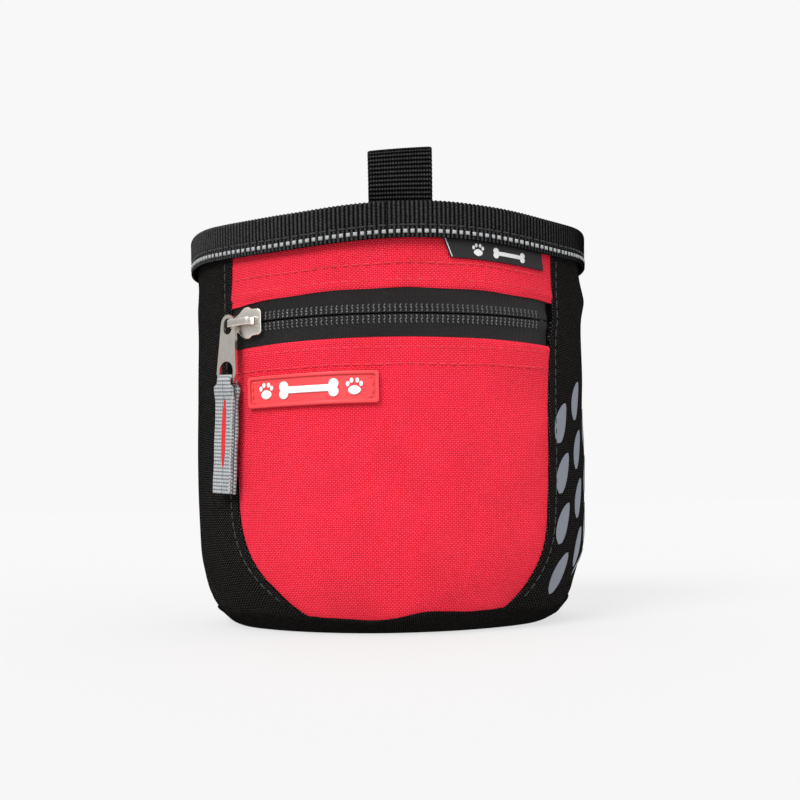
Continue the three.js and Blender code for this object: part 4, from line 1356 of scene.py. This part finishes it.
def pull_strap():
    """Ribbed webbing folded over the tab's bar, with a corded edge and a slit that shows a red strip."""
    total = 2 * STRAP_LENGTH + math.pi * STRAP_TURN
    rows, columns = int(total / RIB * 4), 22
    points, uvs = [], []
    for inside in (0.0, LAYER):
        for r in range(rows + 1):
            s = total * r / rows
            lift, z, normal = strap_place(s)
            below = BAR_Z - z
            narrow = min(max((below - 0.9) / 1.4, 0.0), 1.0)
            half = (STRAP_NECK + (STRAP_WIDTH - STRAP_NECK) * narrow * narrow * (3 - 2 * narrow)) / 2
            half *= 1 + 0.02 * math.sin(s / 2.2)
            drift = 0.0 if s < STRAP_LENGTH else 0.9 * min(1.0, max(0.0, below / 12.0))
            rib = math.cos(2 * math.pi * s / RIB)
            for c in range(columns + 1):
                u = 2 * c / columns - 1
                x = half * u - 0.08 * rib * (abs(u) > 0.95) * math.copysign(1, u)
                cord = 0.18 * bell(u, 0.86, 0.10) * narrow
                out = 0.10 * rib * (1 - cord * 3) + cord - 0.25 * max(0.0, abs(u) - 0.93) / 0.07
                front = s < STRAP_LENGTH
                dip = 0.0
                if front and not inside:
                    dip = 0.55 * min(1.0, max(0.0, (slit_half(z) - abs(x)) / 0.25 + 0.5))
                depth = out - dip if not inside else -0.06 * rib - LAYER / 2
                depth = depth + (LAYER / 2 if not inside else 0.0)
                points.append(pull_point(x + drift, lift + normal[0] * depth, z + normal[1] * depth))
                uvs.append((s, x))
    faces = grid_faces(columns, rows, False)
    piece = make_mesh("pull_strap_webbing", points, faces, GREY_WEBBING, "pull_strap", uvs, 60.0)
    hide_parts("pull_webbing")
    cord = []
    for k in range(80):
        z = BAR_Z - 2.2 - (STRAP_LENGTH - 2.8) * k / 79
        here = pull_point(STRAP_WIDTH / 2 - 0.25, TAB_LIFT + 1.12, z)
        cord.append((here, pull_point(STRAP_WIDTH / 2 - 0.25, TAB_LIFT + 2.12, z) - here))
    stitch_row("pull_strap_cord", cord, SELVEDGE, "pull_strap",
               length=1.0, gap=0.06, radius=0.36, raise_by=0.05)
    heights = spaced(BAR_Z - 28.8, BAR_Z - 6.4, 40)
    left = [(-slit_half(z) + 0.16, z) for z in heights]
    right = [(slit_half(z) - 0.16, z) for z in reversed(heights)]
    form = plate_mesh([left + right], 0.3, 0.05)
    stripe_points, stripe_faces = take(form)
    placed = [pull_point(p.x, TAB_LIFT + STRAP_FLAT + 0.12 + p.z, p.y) for p in stripe_points]
    stripe = make_mesh("pull_strap_stripe", placed, stripe_faces, STRIPE, "pull_strap",
                       [(p.x, p.y) for p in stripe_points], 35.0)
    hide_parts("pull_stripe")


def pull_tab():
    """The CAD tab, with cast edges."""
    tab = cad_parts["pull_tab"]
    tab.data.materials.clear()
    tab.data.materials.append(STEEL)
    add_bevel(tab, 0.28)


def add_bevel(piece, width, segments=3, angle=35.0):
    bevel = piece.modifiers.new("edges", "BEVEL")
    bevel.width = width * MM
    bevel.segments = segments
    bevel.limit_method = "ANGLE"
    bevel.angle_limit = math.radians(angle)
    bevel.harden_normals = True


# ---------------------------------------------------------------- badge and label


def bone(x, z, length, height):
    """A plain bone's outline, centred at (x, z)."""
    knob = height * 0.29
    reach = length / 2 - knob
    outline = []
    for side in (1, -1):
        back = 0 if side > 0 else 180
        outline += circle(x + side * reach, z - side * height * 0.21, knob, 14, back - 184, back + 60)
        outline += circle(x + side * reach, z + side * height * 0.21, knob, 14, back - 60, back + 184)
    return outline


def paw(x, z, size):
    """A paw print's outlines: one pad and four toes."""
    pad, toes = [], []
    for a in range(0, 360, 15):
        across = size * 0.30 * cos_of(a) * (1 + 0.12 * cos_of(2 * a))
        pad.append((x + across, z - size * 0.18 + size * 0.24 * sin_of(a)))
    reach = 0.40
    for turn in (150, 112, 68, 30):
        toe = []
        for a in range(0, 360, 24):
            across = reach * cos_of(turn) + 0.10 * cos_of(a)
            up = reach * sin_of(turn) - 0.06 + 0.135 * sin_of(a)
            toe.append((x + size * across, z + size * up))
        toes.append(toe)
    return [pad, *toes]


def badge():
    """The moulded badge: raised rim, sewn border, and a white bone between two paw prints."""
    low, high = node_box("rubber_patch")
    along, height = -26.95, (low.z + high.z) / 2
    wide, tall = 46.9, 10.3

    def frame_outline(inset, radius):
        x, z = wide / 2 - inset, tall / 2 - inset
        return rounded([(-x, -z), (x, -z), (x, z), (-x, z)], radius)

    where = (along, height)
    plate = wall_plate("badge_plate", [frame_outline(0.0, 1.3)], 0.75, 0.25, RED_RUBBER, 0.25, where)
    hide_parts("rubber_patch")
    rim = [frame_outline(0.0, 1.3), frame_outline(1.15, 0.7)]
    wall_plate("badge_rim", rim, 0.75, 0.85, RED_RUBBER, 0.26, where)
    route = []
    border = frame_outline(2.0, 0.5)
    for x, z in border + border[:1]:
        angle = wall_angle(along + x)
        p = wall_point(angle, height + z, 1.0)
        route.append((p, (wall_point(angle, height + z, 2.0) - p).normalized()))
    stitch_row("badge_border", subdivided(route), RED_RUBBER, length=1.9, gap=0.7, radius=0.28, raise_by=0.16)
    outlines = [bone(0.0, 0.0, 21.0, 5.8)]
    for side in (-1, 1):
        outlines += paw(side * 15.6, 0.1, 6.2)
    motif = wall_plate("badge_motif", outlines, 0.5, 0.95, WHITE_RUBBER, 0.16, where)
    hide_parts("patch_emblem")


def subdivided(route, step=0.7):
    """A route with more points, so that stitches follow its corners."""
    finer = []
    for (a, na), (b, nb) in zip(route, route[1:]):
        count = max(1, int((b - a).length / step))
        finer += [(a.lerp(b, k / count), na.lerp(nb, k / count)) for k in range(count)]
    finer.append(route[-1])
    return finer


def label():
    """The woven side label under the rim, with a plain motif and a white line at its left edge."""
    low, high = node_box("side_label")
    top, bottom = high.z + 1.2, low.z
    height = top - bottom
    start, end = math.radians(13.0) * FRONT_RADIUS, math.radians(41.0) * FRONT_RADIUS
    middle = (start + end) / 2
    half = (end - start) / 2
    lean = 2.6
    outline = [(-half, 0.0), (half, 0.0), (half + lean * 0.5, -height), (-half + lean, -height)]
    where = (middle, top)
    plate = wall_plate("label_plate", [rounded(outline, 0.3)], 0.45, 0.35, LABEL, 0.12, where)
    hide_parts("side_label")
    line = [(-half + 0.5, -0.3), (-half + 0.8, -0.3),
            (-half + lean + 0.7, -height + 0.25), (-half + lean + 0.4, -height + 0.25)]
    motif = [bone(5.0, -3.9, 13.0, 3.6), *paw(-7.2, -3.7, 4.8)]
    wall_plate("label_motif", [line, *motif], 0.12, 0.78, LABEL_WHITE, 0.03, where)


# ---------------------------------------------------------------- side print


def leaf(start, end, width, bend):
    """A pointed leaf between two points, bowed sideways by bend."""
    a, b = Vector(start), Vector(end)
    across = Vector((-(b - a).y, (b - a).x)).normalized()
    steps = 14
    left, right = [], []
    for k in range(steps + 1):
        t = k / steps
        centre = a.lerp(b, t) + across * (bend * 4 * t * (1 - t))
        half = width / 2 * math.sin(math.pi * t ** 0.8) ** 0.6
        left.append(tuple(centre + across * half))
        right.append(tuple(centre - across * half))
    return left + right[-2:0:-1]


def side_print():
    """Plain leaves in reflective ink on the right side, all alike, in staggered columns."""
    columns, rows = 4, 4
    first_column, column_pitch = 63.0, 14.0
    first_row, row_pitch = 11.0, 17.0
    lean, rise, width, bend = 7.0, 14.0, 6.5, 0.8
    leaves = []
    for column in range(columns):
        for row in range(rows):
            x = first_column + column_pitch * column
            z = first_row + row_pitch * (row + 0.5 * (column % 2))
            leaves.append(leaf((x, z), (x + lean, z + rise), width, bend))

    def ground(angle, z):
        return side_lift(angle, z) + 0.06

    def hold(angle, z):
        return max(angle, side_edge(z, 1) + 1.1)

    wall_plate("side_print_leaves", leaves, 0.14, ground, PRINT, 0.02, step=0.9, hold=hold)


# ---------------------------------------------------------------- hanging loop


LOOP_LOW, LOOP_HIGH = node_box("top_loop")


def hanging_loop():
    """A folded webbing loop: both ends go down inside the rim, and its sides stand up and meet in a fold."""
    centre_x = (LOOP_LOW.x + LOOP_HIGH.x) / 2
    width = LOOP_HIGH.x - LOOP_LOW.x
    y = (LOOP_LOW.y + LOOP_HIGH.y) / 2
    half, top = 3.0, LOOP_HIGH.z - 0.7
    corners = [(-1.25, -13.0), (-1.1, -1.0), (-1.0, 1.0),
               (-half + 0.6, 6.0), (-half, 11.0), (-half, top - HEIGHT - 3.0)]
    arc = [(half * cos_of(a), top - HEIGHT - 3.0 + 3.0 * sin_of(a)) for a in (150, 120, 90, 60, 30)]
    path = curve_through(corners + arc + [(-a, b) for a, b in reversed(corners)], 10)
    length = [0.0]
    for a, b in zip(path, path[1:]):
        length.append(length[-1] + math.dist(a, b))
    pitch, per_rib = 1.32, 4
    rows, columns = int(length[-1] / pitch) * per_rib, 36
    points, uvs = [], []
    for inside in (0.0, 1.25):
        for r in range(rows + 1):
            s = length[-1] * r / rows
            k = min(max(int(np.searchsorted(length, s)) - 1, 0), len(path) - 2)
            t = (s - length[k]) / (length[k + 1] - length[k])
            a, b = Vector(path[k]), Vector(path[k + 1])
            spot, ahead = a.lerp(b, t), (b - a).normalized()
            normal = Vector((-ahead.y, ahead.x))
            rib = math.cos(2 * math.pi * r / per_rib)
            for c in range(columns + 1):
                u = 2 * c / columns - 1
                edge = min(1.0, max(0.0, (abs(u) - 0.86) / 0.05))
                bow = 0.16 * (1 - u * u)
                out = 0.15 * rib * (1 - edge) + 0.12 * edge - 0.3 * max(0.0, abs(u) - 0.95) / 0.05
                shift = normal * (-inside - 0.05 * rib if inside else out)
                lean = 0.03 * u * width / 2 * max(0.0, spot.y) / 10.0
                x = centre_x + u * width / 2 - 0.06 * rib * (abs(u) > 0.97) * u
                z = HEIGHT + spot.y + shift.y + lean + bow * (spot.y > 0)
                points.append(Vector((x, y + spot.x + shift.x, z)))
                uvs.append((s, x))
    piece = make_mesh("loop_webbing", points, grid_faces(columns, rows, False), WEBBING, None, uvs, 60.0)
    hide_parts("top_loop", "loop_tail")
    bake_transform(piece)


# ---------------------------------------------------------------- back patch, clip and rivets


def back_patch():
    """The webbing patch behind the clip, with box stitching."""
    low, high = node_box("back_patch")
    reach = math.degrees((high.x - low.x) / 2 / (BACK_RADIUS - WAIST_SINK))

    def place(u, v):
        angle = 180.0 + (2 * u - 1) * reach
        z = low.z + (high.z - low.z) * v
        edge = min(u, 1 - u) * (high.x - low.x)
        return angle, z, 1.35 - edge_roll(edge, 0.7, 0.5) + 0.08 * math.cos(2 * math.pi * z / 1.4)

    patch = shell("patch_webbing", 40, 180, place, 1.0, WEBBING)
    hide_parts("back_patch")
    inset = reach * 0.84
    for name, start, end in (("lower", low.z + 2.0, low.z + 15.0), ("upper", high.z - 8.0, high.z - 2.0)):
        corners = [(180 - inset, start), (180 + inset, start), (180 + inset, end), (180 - inset, end),
                   (180 - inset, start), (180 + inset, end)]
        route = subdivided(wall_route(corners, 1.5), 1.0)
        stitch_row(f"patch_box_{name}", route, BLACK_THREAD, length=2.4, gap=0.6, radius=0.28, raise_by=0.0)


def cad_finish():
    """Materials and edges for the CAD pieces that are shown as they are."""
    looks = {
        "pocket_back_panel": LINING, "base_stiffener": STIFFENER,
        "zipper_coil_upper": COIL, "zipper_coil_lower": COIL,
        "zipper_stop_left": STEEL, "zipper_stop_right": STEEL,
        "belt_clip": CLIP_STEEL, "clip_rivet_lower": STEEL, "clip_rivet_upper": STEEL,
    }
    for name, material in looks.items():
        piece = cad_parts[name]
        piece.data.materials.clear()
        piece.data.materials.append(material)
    add_bevel(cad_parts["belt_clip"], 0.35)
    for name in ("clip_rivet_lower", "clip_rivet_upper"):
        add_bevel(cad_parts[name], 0.2)


make_camera()
make_floor()
make_world()
make_light()
red_panels()
side_panels()
back_wall()
hoop()
wall_padding()
lining()
base()
binding()
reflective_dashes()
rim_stitching()
topstitching()
zip_tapes()
zip_loops()
slider()
bail()
pull_tab()
pull_strap()
badge()
label()
side_print()
hanging_loop()
back_patch()
cad_finish()
